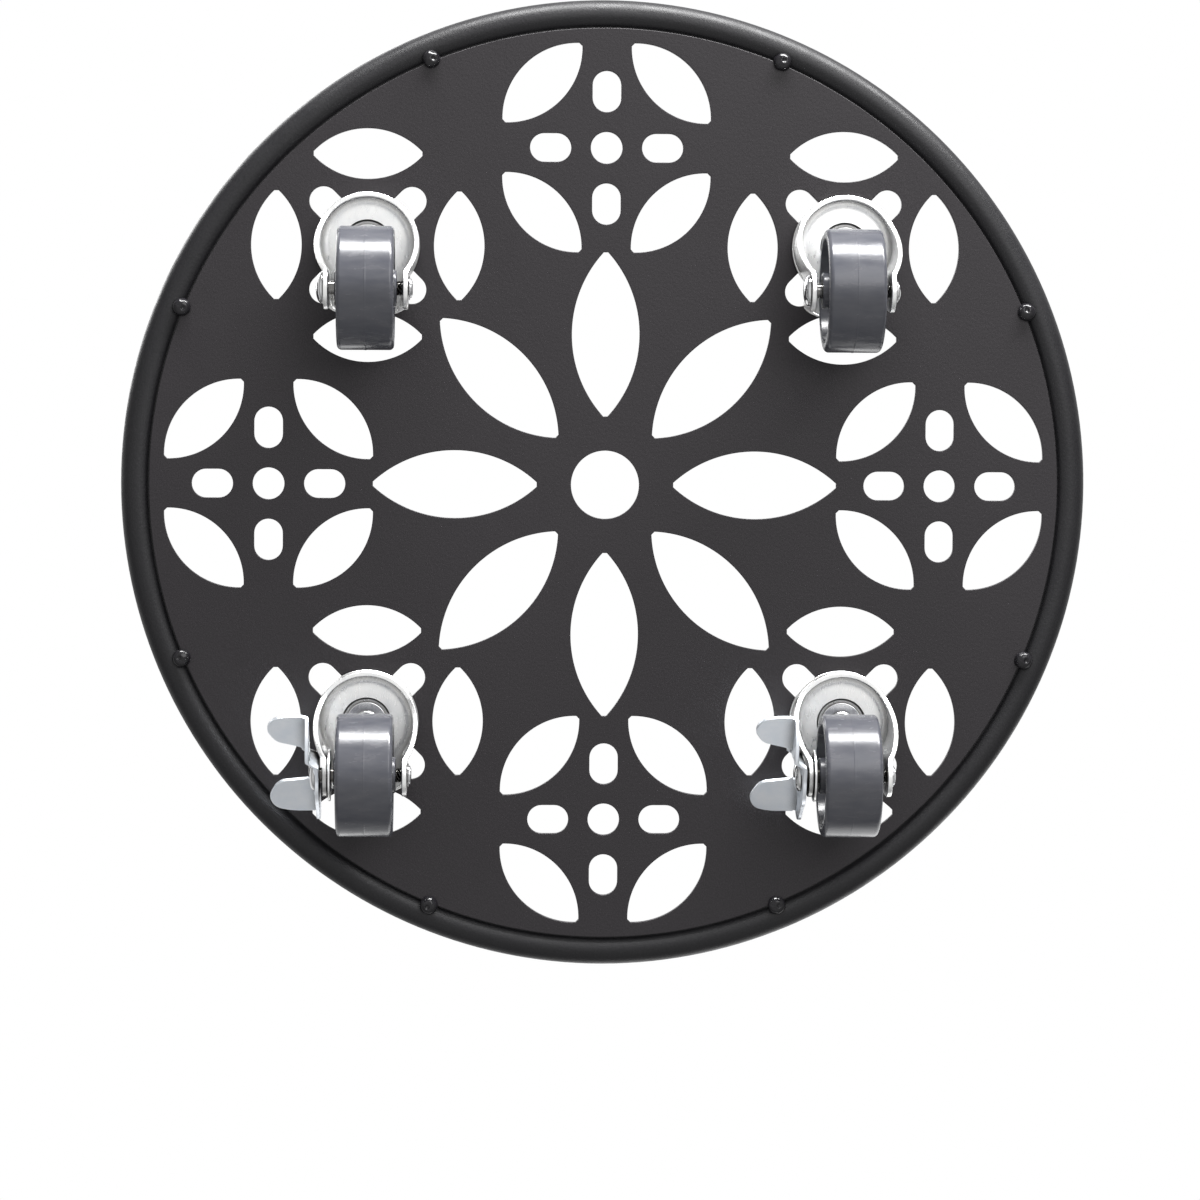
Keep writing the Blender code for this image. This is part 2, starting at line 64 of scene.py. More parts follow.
# Places and sizes that the frame gives
RIM_LOW, RIM_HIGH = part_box("rim_tube")
DECK_LOW, DECK_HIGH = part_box("deck_plate")
WHEEL_LOW, WHEEL_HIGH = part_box("wheel_front_left")
SWIVEL_AT = {corner: Vector((*middle(f"castor_plate_{corner}").xy, 0)) for corner in CORNERS}
TRAIL = middle("castor_plate_front_left").x - middle("wheel_front_left").x
WHEEL_RADIUS = (WHEEL_HIGH.z - WHEEL_LOW.z) / 2
HUB_HALF = (WHEEL_HIGH.y - WHEEL_LOW.y) / 2
TUBE_RADIUS = (RIM_HIGH.z - RIM_LOW.z) / 2
FORK_LOW, FORK_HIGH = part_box("fork_front_left")
HEAD_RADIUS = FORK_HIGH.x - SWIVEL_AT["front_left"].x
LIP_REAR = SWIVEL_AT["front_left"].x - FORK_LOW.x

# Pattern of the deck, as in the frame
ARMS = 8
CENTRE_HOLE_RADIUS = 14.1 * MM
PETAL = {"circle": 62.1 * MM, "length": 69.6 * MM, "width": 28 * MM}
ROSETTE_CIRCLE = 138.9 * MM
ROSETTE_HOLE_RADIUS = 6.55 * MM
SLOT = {"circle": 23.1 * MM, "length": 17 * MM, "width": 11.8 * MM}
LEAF = {"circle": 37.6 * MM, "length": 46.3 * MM, "width": 20.8 * MM}
TIP_RADIUS = 0.9 * MM
CUT_EDGE = 0.3 * MM  # how much the edges of a cut sheet are rounded
PRESSED_EDGE = 0.35 * MM  # the same for the fork's
EDGE_STEPS = 3
EDGE_ROOM = 0.6 * MM  # how far the rows of a sheet stay from such an edge

# Weld beads
WELDS = 8
WELD_LUMPS = ((420, 0.3 * MM), (1100, 0.08 * MM))  # (noise scale, height)
CRATER_OFF = 0.9 * MM
CRATER_DEPTH = 0.7 * MM

# Fork
FORK_SHEET = 2 * MM
FORK_TOP = 58.8 * MM
FORK_CORNER = 2.3 * MM
LEG_HALF_WIDTH = 17 * MM
NECK_FILLET = 4 * MM
FILLET_Y = LEG_HALF_WIDTH + NECK_FILLET
FILLET_AT = (-sqrt((HEAD_RADIUS + NECK_FILLET) ** 2 - FILLET_Y**2), FILLET_Y)
SKIRT_BOTTOM = 52 * MM
LEG_END_RADIUS = 8.6 * MM
LEG_REAR_TOP = 5 * MM
LEG_FRONT_SLOPE = radians(54.6)
SKIRT_FILLET = 3.5 * MM
DOME_TOP = 60.3 * MM
DOME_TOP_RADIUS = 15.6 * MM
DOME_FOOT_RADIUS = 18.6 * MM
RECESS_TOP = 58.3 * MM
RECESS_RADIUS = 9.9 * MM
LEDGE_DEPTH = 0.25 * MM
LEDGE_INNER, LEDGE_OUTER = 16.2 * MM, 17.4 * MM
LIP_DIP = 0.5 * MM
LIP_TAPER = 5.5 * MM
LIP_STEPS = 4
LEG_STEPS = 14
WALL_ROWS = 44

# Radii of the rows of the fork's top, closer together where it bends
TOP_RADII = [6.5, 7.5, 8.5, 9.2, 9.5, 9.75, 10, 10.25, 10.6, 10.9, 10.98, 11.3, 11.7, 12.2]
TOP_RADII += [12.6, 13, 13.5, 13.9, 14.22, 14.3, 15.4, 16.1, 16.7, 17.3, 17.9, 18.6]

# Stamped rib of a braked leg: a spine behind the swivel axis, and a round bulb at its foot
RIB_BEHIND = 9.7 * MM
RIB_MIDDLE = 42 * MM
RIB_HALF_LENGTH = 11.5 * MM
RIB_HALF_WIDTH = 2.1 * MM
RIB_HEIGHT = 0.8 * MM
BULB_MIDDLE = 33.2 * MM
BULB_HEIGHT = 0.6 * MM
BULB_FLAT, BULB_RADIUS = 0.5 * MM, 2.2 * MM

# Bearing, fasteners and wheel
STUD_RADIUS = 5 * MM
NECK_RADIUS = 4 * MM
RIVET_HOLLOW_RADIUS = 3.8 * MM
BALL_RADIUS = 1.25 * MM
BALL_CIRCLE = 12.6 * MM
BALLS = 24
RACE_HALF_WIDTH = 1.65 * MM
RACE_FLOOR = 58.1 * MM
THREAD_DEPTH = 0.5 * MM
STUD_PITCH = 1.5 * MM
AXLE_PITCH = 1 * MM
AXLE_RADIUS = 3 * MM
HUB_RADIUS = 7.5 * MM
WHEEL_HALF = 11.5 * MM
WEB_HALF = 6 * MM
RIM_INNER_RADIUS = 20.8 * MM
SLEEVE_RADIUS = 4 * MM
TREAD_CORNER = 1.9 * MM
MOULD_LINE = 0.12 * MM  # how far it stands out of the tread
CAP_RADIUS = 6.35 * MM
CAP_HEIGHT = 2.7 * MM
AXLE_TIP = 0.3 * MM
AXLE_THREAD_DEPTH = 0.3 * MM
RACE_WASHER_RADIUS = 8.5 * MM
DECK_WASHER_RADIUS = 10 * MM
DECK_NUT_FLATS = 16 * MM
BRAKE_PLATE_RADIUS = 10.5 * MM
GAP = 0.3 * MM

# Brake lever, as in the frame: X forward and Z up from the axle
LEVER_SHEET = 1.5 * MM
LEVER_BEND = 1.8 * MM
LEVER_JOGGLE = 3.8 * MM
JOGGLE_START = 6.6 * MM
JOGGLE_END = 8.8 * MM
JOGGLE_TILT = radians(10)
EAR_REACH = 21.3 * MM
WEB_REACH = 3.2 * MM
EAR_SKEW = 0.5 * MM  # how far an ear's outer side starts inside the lever's corner
EDGE_SPACING = 0.45 * MM
EDGE_RUN = 40  # steps of each straight run, and of the hub's arc, along the bent edge
PLATE_ROWS = 40
BEND_ROWS = 6
EAR_ROWS = 10
CAM_ANGLES = (radians(138), radians(-60))  # the middles of the two cam ramps
CAM_FLAT_ANGLE, CAM_FOOT_ANGLE = radians(12), radians(32)  # to each side of the middle
CAM_CIRCLE = 8.5 * MM
CAM_FLAT, CAM_FOOT = 0.3 * MM, 1.9 * MM  # to each side of the circle
CAM_HEIGHT = 0.85 * MM
DIMPLE_X, DIMPLE_Z = 8 * MM, -13.5 * MM
DIMPLE_DEPTH = 0.5 * MM
DIMPLE_FLAT, DIMPLE_RADIUS = 0.5 * MM, 1.4 * MM
LEVER_SLOT = {"length": 4.6 * MM, "width": 1.6 * MM}
LEVER_SLOT_AT = Vector((-12.9 * MM, 17.8 * MM))
LEVER_SLOT_TURN = radians(-42)

# Surfaces: darkest and lightest colour, lowest and highest roughness, and the height of their bumps
POWDER_COATS = {
    "deck_coat": ((0.008, 0.0065, 0.008), (0.018, 0.0155, 0.018), 0.42, 0.55, 0.06 * MM),
    "rim_coat": ((0.004, 0.004, 0.005), (0.010, 0.0095, 0.011), 0.40, 0.52, 0.08 * MM),
    "weld_coat": ((0.005, 0.005, 0.006), (0.012, 0.011, 0.013), 0.12, 0.24, 0.03 * MM),
}
ZINC_PLATES = {
    "zinc_sheet": ((0.86, 0.87, 0.87), (0.95, 0.945, 0.93), 0.26, 0.38, 0.0025 * MM),
    "lever_zinc": ((0.82, 0.87, 0.93), (0.90, 0.93, 0.97), 0.34, 0.46, 0.003 * MM),
    "zinc_fastener": ((0.62, 0.63, 0.65), (0.75, 0.75, 0.76), 0.20, 0.32, 0.008 * MM),
    "zinc_polished": ((0.72, 0.73, 0.74), (0.82, 0.82, 0.82), 0.08, 0.16, 0.003 * MM),
    "bearing_steel": ((0.65, 0.65, 0.66), (0.74, 0.74, 0.74), 0.06, 0.14, 0.002 * MM),
}

# Brightness of the room from straight below (0) over the horizon (0.5) to straight above (1)
WORLD_STOPS = ((0, 0.95), (0.12, 0.95), (0.35, 0.5), (0.5, 0.3), (0.6, 0.6), (0.8, 1), (1, 1))


# Outlines: lists of (x, y) points


def arc(centre, radius, start, end, steps):
    angles = [start + (end - start) * i / steps for i in range(steps + 1)]
    return [(centre[0] + radius * cos(a), centre[1] + radius * sin(a)) for a in angles]


def circle(radius, steps):
    return arc((0, 0), radius, 0, tau, steps)[:-1]


def arc_through(first, middle_point, last, steps):
    """The arc from first to last by way of the middle point, which are all given in millimetres."""
    a, b, c = [Vector((x * MM, y * MM)) for x, y in (first, middle_point, last)]
    ab, ac = b - a, c - a
    cross = 2 * (ab.x * ac.y - ab.y * ac.x)
    offset_x = (ac.y * ab.length_squared - ab.y * ac.length_squared) / cross
    offset_y = (ab.x * ac.length_squared - ac.x * ab.length_squared) / cross
    centre = a + Vector((offset_x, offset_y))
    start = atan2(a.y - centre.y, a.x - centre.x)
    end = atan2(c.y - centre.y, c.x - centre.x)
    if cross > 0 and end < start:
        end += tau
    if cross < 0 and end > start:
        end -= tau
    return arc(centre, (a - centre).length, start, end, steps)


def rounded(points, closed=True):
    """An outline of straight runs from (x, y, radius) points, each corner rounded to its radius."""
    out = []
    count = len(points)
    for i, (x, y, radius) in enumerate(points):
        here = Vector((x, y))
        if not closed and i in (0, count - 1) or not radius:
            out.append((x, y))
            continue
        before = Vector(points[i - 1][:2]) - here
        after = Vector(points[(i + 1) % count][:2]) - here
        half = before.angle(after) / 2
        cut = min(radius / tan(half), before.length * 0.49, after.length * 0.49)
        radius = cut * tan(half)
        u, v = before.normalized(), after.normalized()
        centre = here + (u + v).normalized() * (radius / sin(half))
        first, last = here + u * cut - centre, here + v * cut - centre
        steps = max(2, ceil((pi - 2 * half) / radians(14)))
        turn = first.angle_signed(last)
        for k in range(steps + 1):
            swing = Matrix.Rotation(-turn * k / steps, 2)
            out.append(tuple(centre + swing @ first))
    return out


def leaf(length, width, steps):
    """A pointed hole along X between two equal arcs, its tips cut blunt."""
    radius = (length**2 + width**2) / (4 * width)
    drop = radius - width / 2
    reach = atan2(sqrt(radius**2 - (drop + TIP_RADIUS) ** 2), drop + TIP_RADIUS)
    upper = arc((0, -drop), radius, pi / 2 - reach, pi / 2 + reach, steps)
    return upper + [(-x, -y) for x, y in upper]


def slot_hole(length, width, steps):
    end = arc((length / 2 - width / 2, 0), width / 2, -pi / 2, pi / 2, steps)
    return end + [(-x, -y) for x, y in end]


def placed(outline, distance, angle, turn=0.0):
    facing = Matrix.Rotation(angle + turn, 2)
    centre = Vector((distance * cos(angle), distance * sin(angle)))
    return [tuple(facing @ Vector(point) + centre) for point in outline]


def smoothstep(low, high, value):
    t = min(max((value - low) / (high - low), 0), 1)
    return t * t * (3 - 2 * t)


# Meshes


def linked(name, data):
    thing = bpy.data.objects.new(name, data)
    bpy.context.collection.objects.link(thing)
    return thing


def evaluated(thing):
    """The mesh that a curve or modifiers give."""
    graph = bpy.context.evaluated_depsgraph_get()
    return bpy.data.meshes.new_from_object(thing.evaluated_get(graph))


def smooth(mesh):
    """The mesh, smooth, with its sharp edges marked."""
    mesh.shade_smooth()
    mesh.set_sharp_from_angle(angle=radians(40))
    return mesh


def mesh_of(name, bm):
    bmesh.ops.recalc_face_normals(bm, faces=bm.faces)
    mesh = bpy.data.meshes.new(name)
    bm.to_mesh(mesh)
    bm.free()
    return smooth(mesh)


def skin(loops, closed=False, into=None):
    """Quads through loops; closed joins the last loop to the first, else both are capped."""
    bm = into or bmesh.new()
    rows = [[bm.verts.new(point) for point in loop] for loop in loops]
    if not closed:
        bm.faces.new(rows[0])
        bm.faces.new(reversed(rows[-1]))
    count = len(rows[0])
    for low, high in zip(rows, rows[1:] + rows[:closed]):
        for i in range(count):
            j = (i + 1) % count
            bm.faces.new((low[i], low[j], high[j], high[i]))
    return bm


def turned(profile, steps, closed=True, into=None):
    """A body turned round Z from a profile of (radius, height) points."""
    loops = [[(x, y, z) for x, y in circle(r, steps)] for r, z in profile]
    return skin(loops, closed, into)


def screwed(profile, steps, depth, pitch, low, high):
    """A turned body with a thread cut into it between two heights."""
    loops = []
    for r, z in profile:
        loop = []
        for i in range(steps):
            turn = i / steps
            phase = (z / pitch - turn) % 1
            fade = smoothstep(low, low + pitch, z) * (1 - smoothstep(high - pitch / 2, high, z))
            cut = depth * abs(2 * phase - 1) * fade
            loop.append(((r - cut) * cos(tau * turn), (r - cut) * sin(tau * turn), z))
        loops.append(loop)
    return skin(loops)


def along_axle(bm):
    """Turns a body built along Z to lie along Y, at the axle's place."""
    matrix = Matrix.Translation((-TRAIL, 0, WHEEL_RADIUS)) @ Matrix.Rotation(-pi / 2, 4, "X")
    bmesh.ops.transform(bm, matrix=matrix, verts=bm.verts)
    return bm


class Layers:
    """The two sides of a sheet: pairs of points, and the quads of both."""

    def __init__(self):
        self.outer, self.inner, self.faces = [], [], []

    def add(self, high, low):
        self.outer.append(Vector(high))
        self.inner.append(Vector(low))
        return len(self.outer) - 1

    def join(self, rows, closed=False):
        """Quads between each row and the next."""
        for low, high in zip(rows, rows[1:]):
            count = len(low)
            for i in range(count if closed else count - 1):
                j = (i + 1) % count
                self.faces.append((low[i], high[i], high[j], low[j]))


def sheet(layers, rounding):
    """A closed sheet from two layers, with its free edges rounded as far as there is room."""
    outer, inner, faces = layers.outer, layers.inner, layers.faces
    edges = {(a, b) for face in faces for a, b in zip(face, face[1:] + face[:1])}
    free = [(a, b) for a, b in edges if (b, a) not in edges]
    outward = {}
    for a, b in free:
        along = outer[b] - outer[a]
        up = outer[a] - inner[a] + outer[b] - inner[b]
        out = along.cross(up).normalized()
        outward.setdefault(a, []).append(out)
        outward.setdefault(b, []).append(out)
    room = {i: rounding for i in outward}
    for a, b in edges:
        if (a in outward) != (b in outward):
            rim = a if a in outward else b
            nearest = min((outer[a] - outer[b]).length, (inner[a] - inner[b]).length)
            room[rim] = min(room[rim], nearest * 0.8)
    bm = bmesh.new()
    chains, tops, bottoms = {}, {}, {}
    for i, (high, low) in enumerate(zip(outer, inner)):
        if i not in outward:
            tops[i], bottoms[i] = bm.verts.new(high), bm.verts.new(low)
            continue
        total = sum(outward[i], Vector())
        out = total / max(total.length_squared / len(outward[i]), 0.7)
        up = (high - low).normalized()
        reach = room[i]
        bends = [pi / 2 * k / EDGE_STEPS for k in range(EDGE_STEPS + 1)]
        chain = [high + out * reach * (sin(a) - 1) - up * reach * (1 - cos(a)) for a in bends]
        bends.reverse()
        chain += [low + out * reach * (sin(a) - 1) + up * reach * (1 - cos(a)) for a in bends]
        chains[i] = [bm.verts.new(point) for point in chain]
        tops[i], bottoms[i] = chains[i][0], chains[i][-1]
    for face in faces:
        bm.faces.new([tops[i] for i in face])
        bm.faces.new([bottoms[i] for i in reversed(face)])
    for a, b in free:
        for k in range(len(chains[a]) - 1):
            bm.faces.new((chains[a][k], chains[a][k + 1], chains[b][k + 1], chains[b][k]))
    return bm


def cut(mesh, bm):
    """The mesh with the body bm taken from it by a Boolean difference."""
    base, tool = linked("base", mesh), linked("tool", mesh_of("tool", bm))
    modifier = base.modifiers.new("cut", "BOOLEAN")
    modifier.object = tool
    result = evaluated(base)
    bpy.data.objects.remove(base)
    bpy.data.objects.remove(tool)
    return smooth(result)


def show(node, mesh, material, at=(0, 0, 0)):
    """A fine piece that stands for a node of the frame, and rides on the node's body."""
    if not mesh.materials:
        mesh.materials.append(material)
    piece = linked(f"fine_{node}", mesh)
    piece.location = at
    shading = piece.modifiers.new("shading", "WEIGHTED_NORMAL")
    shading.keep_sharp = True
    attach(piece, BODY_OF[node])
    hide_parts(node)


# Deck, ring and welds


def deck_holes():
    holes = [circle(CENTRE_HOLE_RADIUS, 72)]
    for arm in range(ARMS):
        angle = tau * arm / ARMS
        holes.append(placed(leaf(PETAL["length"], PETAL["width"], 48), PETAL["circle"], angle))
        holes += [placed(hole, ROSETTE_CIRCLE, angle) for hole in rosette_holes()]
    return holes


def rosette_holes():
    holes = [circle(ROSETTE_HOLE_RADIUS, 40)]
    slot = slot_hole(SLOT["length"], SLOT["width"], 16)
    petal = leaf(LEAF["length"], LEAF["width"], 32)
    for quarter in range(4):
        angle = pi / 2 * quarter
        holes.append(placed(slot, SLOT["circle"], angle))
        holes.append(placed(petal, LEAF["circle"], angle + pi / 4, pi / 2))
    return holes


def deck_mesh():
    """The deck as a filled curve with its holes, its cut edges rounded."""
    curve = bpy.data.curves.new("deck", "CURVE")
    curve.dimensions = "2D"
    curve.fill_mode = "BOTH"
    curve.extrude = (DECK_HIGH.z - DECK_LOW.z) / 2 - CUT_EDGE
    curve.bevel_depth = CUT_EDGE
    curve.bevel_resolution = 2
    curve.offset = -CUT_EDGE
    for outline in [circle(DECK_HIGH.x, 256), *deck_holes()]:
        spline = curve.splines.new("POLY")
        spline.points.add(len(outline) - 1)
        for point, (x, y) in zip(spline.points, outline):
            point.co = (x, y, 0, 1)
        spline.use_cyclic_u = True
    helper = linked("deck", curve)
    mesh = evaluated(helper)
    bpy.data.objects.remove(helper)
    bm = bmesh.new()
    bm.from_mesh(mesh)
    bmesh.ops.remove_doubles(bm, verts=bm.verts, dist=0.01 * MM)
    bmesh.ops.translate(bm, verts=bm.verts, vec=(0, 0, (DECK_LOW.z + DECK_HIGH.z) / 2))
    return mesh_of("deck", bm)


def rim_mesh():
    centre = (RIM_HIGH.x - TUBE_RADIUS, (RIM_LOW.z + RIM_HIGH.z) / 2)
    return mesh_of("rim", turned(arc(centre, TUBE_RADIUS, 0, tau, 40)[:-1], 240))


def weld_mesh(number, low, high):
    """One weld bead round the origin: a lumpy drop with a crater, its top sunk into the joint."""
    radius = (high.x - low.x) / 2
    height = high.z - low.z
    seed = Vector((number * 7.3, number * 3.1, 0))
    lean = tau * random.Random(number).random()
    loops = []
    for k in range(15):
        fall = pi / 2 * k / 14.5
        ring_radius, drop = radius * cos(fall) ** 0.8, height * sin(fall)
        loop = []
        for x, y in circle(ring_radius, 36):
            point = Vector((x, y, -drop))
            lump = sum(noise.noise(point * scale + seed) * bump for scale, bump in WELD_LUMPS)
            off = hypot(x - CRATER_OFF * cos(lean), y - CRATER_OFF * sin(lean))
            crater = CRATER_DEPTH * (1 - smoothstep(0.3 * MM, 1.3 * MM, off))
            crater *= smoothstep(0.6, 0.95, drop / height)
            wide = 1 + lump / radius
            loop.append((x * wide, y * wide, -drop + abs(lump) + crater))
        loops.append(loop)
    top = [(x * 0.9, y * 0.9, 0.5 * MM) for x, y, _ in loops[0]]
    return mesh_of("weld", skin([top, *loops]))


# Castor pieces, each in its castor's own frame: origin on the floor under the swivel axis


def plan_path(inset):
    """The fork's wall from above: from the rear of one leg round the head to that of the other."""
    fillet_x, fillet_y = FILLET_AT
    neck = atan2(fillet_y, fillet_x)
    head = arc((0, 0), HEAD_RADIUS - inset, 0, neck, 64)
    fillet = arc((fillet_x, fillet_y), NECK_FILLET + inset, neck - pi, -pi / 2, 6)[1:]
    y = LEG_HALF_WIDTH - inset
    lip_x = -TRAIL - LEG_REAR_TOP
    leg = [(fillet_x + (lip_x - fillet_x) * k / LEG_STEPS, y) for k in range(1, LEG_STEPS + 1)]
    shares = [k / LIP_STEPS for k in range(1, LIP_STEPS + 1)]
    lip = [(lip_x + (-LIP_REAR - lip_x) * t, y - LIP_TAPER * t**2) for t in shares]
    half = head + fillet + leg + lip
    return [(x, -y) for x, y in reversed(half[1:])] + half


def leg_end(angle):
    """A point of the rounded end of a leg, as (x, z)."""
    return -TRAIL + LEG_END_RADIUS * cos(angle), WHEEL_RADIUS + LEG_END_RADIUS * sin(angle)


def wall_foot(index, x):
    """Where the wall ends below a point of the path, as (x, z)."""
    count = len(plan_path(0))
    from_end = min(index, count - 1 - index) - LIP_STEPS
    slope_x, slope_z = leg_end(LEG_FRONT_SLOPE - pi / 2)
    if from_end <= LEG_STEPS:
        ahead = FILLET_AT[0] + TRAIL
        first = -pi / 2 + atan2(ahead, sqrt(LEG_END_RADIUS**2 - ahead**2))
        return leg_end(first + (-pi - first) * (1 - from_end / LEG_STEPS))
    if x < slope_x:
        return x, WHEEL_RADIUS - sqrt(LEG_END_RADIUS**2 - (x + TRAIL) ** 2)
    rising = slope_z + (x - slope_x) * tan(LEG_FRONT_SLOPE)
    over = (rising - SKIRT_BOTTOM) / SKIRT_FILLET
    return x, SKIRT_BOTTOM + SKIRT_FILLET * (over - sqrt(over * over + 0.25)) / 2


def rib_height(x, z):
    """How far the stamped rib of a braked leg stands out at a point of its wall."""
    along = abs(z - RIB_MIDDLE) / RIB_HALF_LENGTH
    half_width = RIB_HALF_WIDTH * max(1 - along * along, 0.01)
    across = abs(x + RIB_BEHIND) / half_width
    spine = RIB_HEIGHT * (1 - smoothstep(0.1, 1, across)) * (1 - smoothstep(0.6, 1, along))
    off = hypot(x + RIB_BEHIND, z - BULB_MIDDLE)
    return max(spine, BULB_HEIGHT * (1 - smoothstep(BULB_FLAT, BULB_RADIUS, off)))


def top_profile(r):
    """Heights of the fork's top wall at a radius: its upper and its lower side."""
    fall = smoothstep(DOME_TOP_RADIUS, DOME_FOOT_RADIUS, r)
    upper = FORK_TOP + (DOME_TOP - FORK_TOP) * (1 - fall)
    off = abs(r - BALL_CIRCLE)
    if off < RACE_HALF_WIDTH:
        upper = RACE_FLOOR + RACE_HALF_WIDTH - sqrt(RACE_HALF_WIDTH**2 - off**2)
    flat = FORK_TOP - FORK_SHEET
    inside = 1 - smoothstep(RECESS_RADIUS - 0.5 * MM, RECESS_RADIUS + 0.6 * MM, r)
    recess = (RECESS_TOP - flat) * inside
    ledge = LEDGE_DEPTH * (1 - smoothstep(LEDGE_INNER, LEDGE_OUTER, r))
    return upper, flat + max(recess, ledge)


def lip_dip(x):
    """How far the top wall sinks towards the lip at its rear."""
    return LIP_DIP * smoothstep(TRAIL, LIP_REAR, -x)


def fork_top(layers):
    """The top wall, in rows from its hole to its rim; gives the last row, without the lip's end."""
    flat_edge = plan_path(FORK_CORNER)
    rim = flat_edge + [(-LIP_REAR, flat_edge[-1][1] * (1 - 2 * k / 16)) for k in range(1, 16)]
    rows = []
    for r in TOP_RADII:
        upper, lower = top_profile(r * MM)
        row = []
        for x, y in rim:
            angle = atan2(y, x)
            at = (r * MM * cos(angle), r * MM * sin(angle))
            row.append(layers.add((*at, upper), (*at, lower)))
        rows.append(row)
    for k in range(1, 7):
        row = []
        for x, y in rim:
            start = DOME_FOOT_RADIUS / hypot(x, y)
            share = start + (1 - start) * k / 6
            at = (x * share, y * share)
            drop = lip_dip(at[0])
            row.append(layers.add((*at, FORK_TOP - drop), (*at, FORK_TOP - FORK_SHEET - drop)))
        rows.append(row)
    layers.join(rows, closed=True)
    return rows[-1][: len(flat_edge)]


def fork_corner(layers, top):
    """The rolled corner; gives its lowest row."""
    tight = FORK_CORNER - FORK_SHEET
    rows = [top]
    for k in range(1, 6):
        angle = pi / 2 * k / 5
        reach, fall = FORK_CORNER * (1 - sin(angle)), FORK_CORNER * (1 - cos(angle))
        inner_reach = FORK_SHEET + tight * (1 - sin(angle))
        inner_fall = FORK_SHEET + tight * (1 - cos(angle))
        row = []
        for (x, y), (u, v) in zip(plan_path(reach), plan_path(inner_reach)):
            high, low = FORK_TOP - fall - lip_dip(x), FORK_TOP - inner_fall - lip_dip(x)
            row.append(layers.add((x, y, high), (u, v, low)))
        rows.append(row)
    layers.join(rows)
    return rows[-1]


def fork_walls(layers, above, ribbed):
    """The upright wall, down to the skirt and the ends of the legs."""
    plan, inside = plan_path(0), plan_path(FORK_SHEET)
    wall = range(LIP_STEPS, len(plan) - LIP_STEPS)
    top_z = FORK_TOP - FORK_CORNER
    rows = [[above[i] for i in wall]]
    for k in range(1, WALL_ROWS + 1):
        row = []
        for i in wall:
            (x, y), (u, v) = plan[i], inside[i]
            foot_x, foot_z = wall_foot(i, x)
            clear = 1 - EDGE_ROOM / (top_z - foot_z)
            share = 1 if k == WALL_ROWS else clear * k / (WALL_ROWS - 1)
            z = top_z + (foot_z - top_z) * share
            shift = (foot_x - x) * share
            out = Vector((x - u, y - v, 0)).normalized()
            stamped = out * (rib_height(x + shift, z) if ribbed and y < 0 else 0)
            high, low = Vector((x + shift, y, z)), Vector((u + shift, v, z))
            row.append(layers.add(high + stamped, low + stamped))
        rows.append(row)
    layers.join(rows)


def fork_mesh(ribbed):
    """The pressed fork: a round head with a rolled corner, and a leg on each side of the wheel."""
    layers = Layers()
    fork_walls(layers, fork_corner(layers, fork_top(layers)), ribbed)
    mesh = mesh_of("fork", sheet(layers, PRESSED_EDGE))
    hole = turned([(AXLE_RADIUS + GAP, -30 * MM), (AXLE_RADIUS + GAP, 30 * MM)], 32, closed=False)
    return cut(mesh, along_axle(hole))


def wheel_mesh():
    """The wheel: a rounded tread with a mould line, a deep rim, a flat web and a hub."""
    bore = SLEEVE_RADIUS + GAP
    tread = WHEEL_RADIUS - MOULD_LINE
    side = [
        (bore, HUB_HALF, 0.4 * MM),
        (HUB_RADIUS - 0.2 * MM, HUB_HALF, 0.8 * MM),
        (HUB_RADIUS + 0.3 * MM, WEB_HALF, 1.6 * MM),
        (RIM_INNER_RADIUS - 0.5 * MM, WEB_HALF, 2.4 * MM),
        (RIM_INNER_RADIUS + 0.2 * MM, WHEEL_HALF, 0.7 * MM),
        (tread, WHEEL_HALF, TREAD_CORNER),
        (tread, 0.5 * MM, 0),
        (WHEEL_RADIUS, 0.15 * MM, 0),
    ]
    profile = rounded(side + [(r, -z, corner) for r, z, corner in reversed(side)])
    return mesh_of("wheel", along_axle(turned(profile, 128)))


def axle_mesh(cap_face, nut_side):
    """The bolt: a polished dome with a centre mark, and a shank threaded where the nut goes."""
    cap_top = cap_face + CAP_HEIGHT
    dome = [(0.05 * MM, cap_top - 0.35 * MM), (0.3 * MM, cap_top - 0.3 * MM)]
    dome.append((0.55 * MM, cap_top - 0.02 * MM))
    for k in range(1, 17):
        angle = pi / 2 * k / 17
        dome.append((CAP_RADIUS * sin(angle) ** 0.9, cap_face + CAP_HEIGHT * cos(angle) ** 0.85))
    dome += [(CAP_RADIUS, cap_face + 0.1 * MM), (CAP_RADIUS - 0.2 * MM, cap_face)]
    thread_top = HUB_HALF - 2 * MM
    run = [-thread_top - (nut_side - thread_top) * k / 60 for k in range(61)]
    shank = [(AXLE_RADIUS, z) for z in [cap_face, *run]]
    tip = [(AXLE_RADIUS - 0.4 * MM, -nut_side - 0.28 * MM), (0.1 * MM, -nut_side - 0.3 * MM)]
    body = screwed([*dome, *shank, *tip], 64, AXLE_THREAD_DEPTH, AXLE_PITCH, -nut_side, -thread_top)
    bmesh.ops.rotate(body, matrix=Matrix.Rotation(pi, 3, "X"), verts=body.verts)
    return mesh_of("axle", along_axle(body))


def push_nut_mesh(low, high):
    """The low ring on the axle's far end: a flat brim and a raised collar."""
    brim, collar, bore = 4.8 * MM, 3.9 * MM, AXLE_RADIUS + GAP
    profile = [
        (bore, low, 0),
        (brim, low, 0.15 * MM),
        (brim, low + 0.5 * MM, 0.2 * MM),
        (collar, low + 0.55 * MM, 0.25 * MM),
        (collar - 0.15 * MM, high, 0.35 * MM),
        (bore, high, 0.2 * MM),
    ]
    return mesh_of("push_nut", along_axle(turned(rounded(profile), 64)))


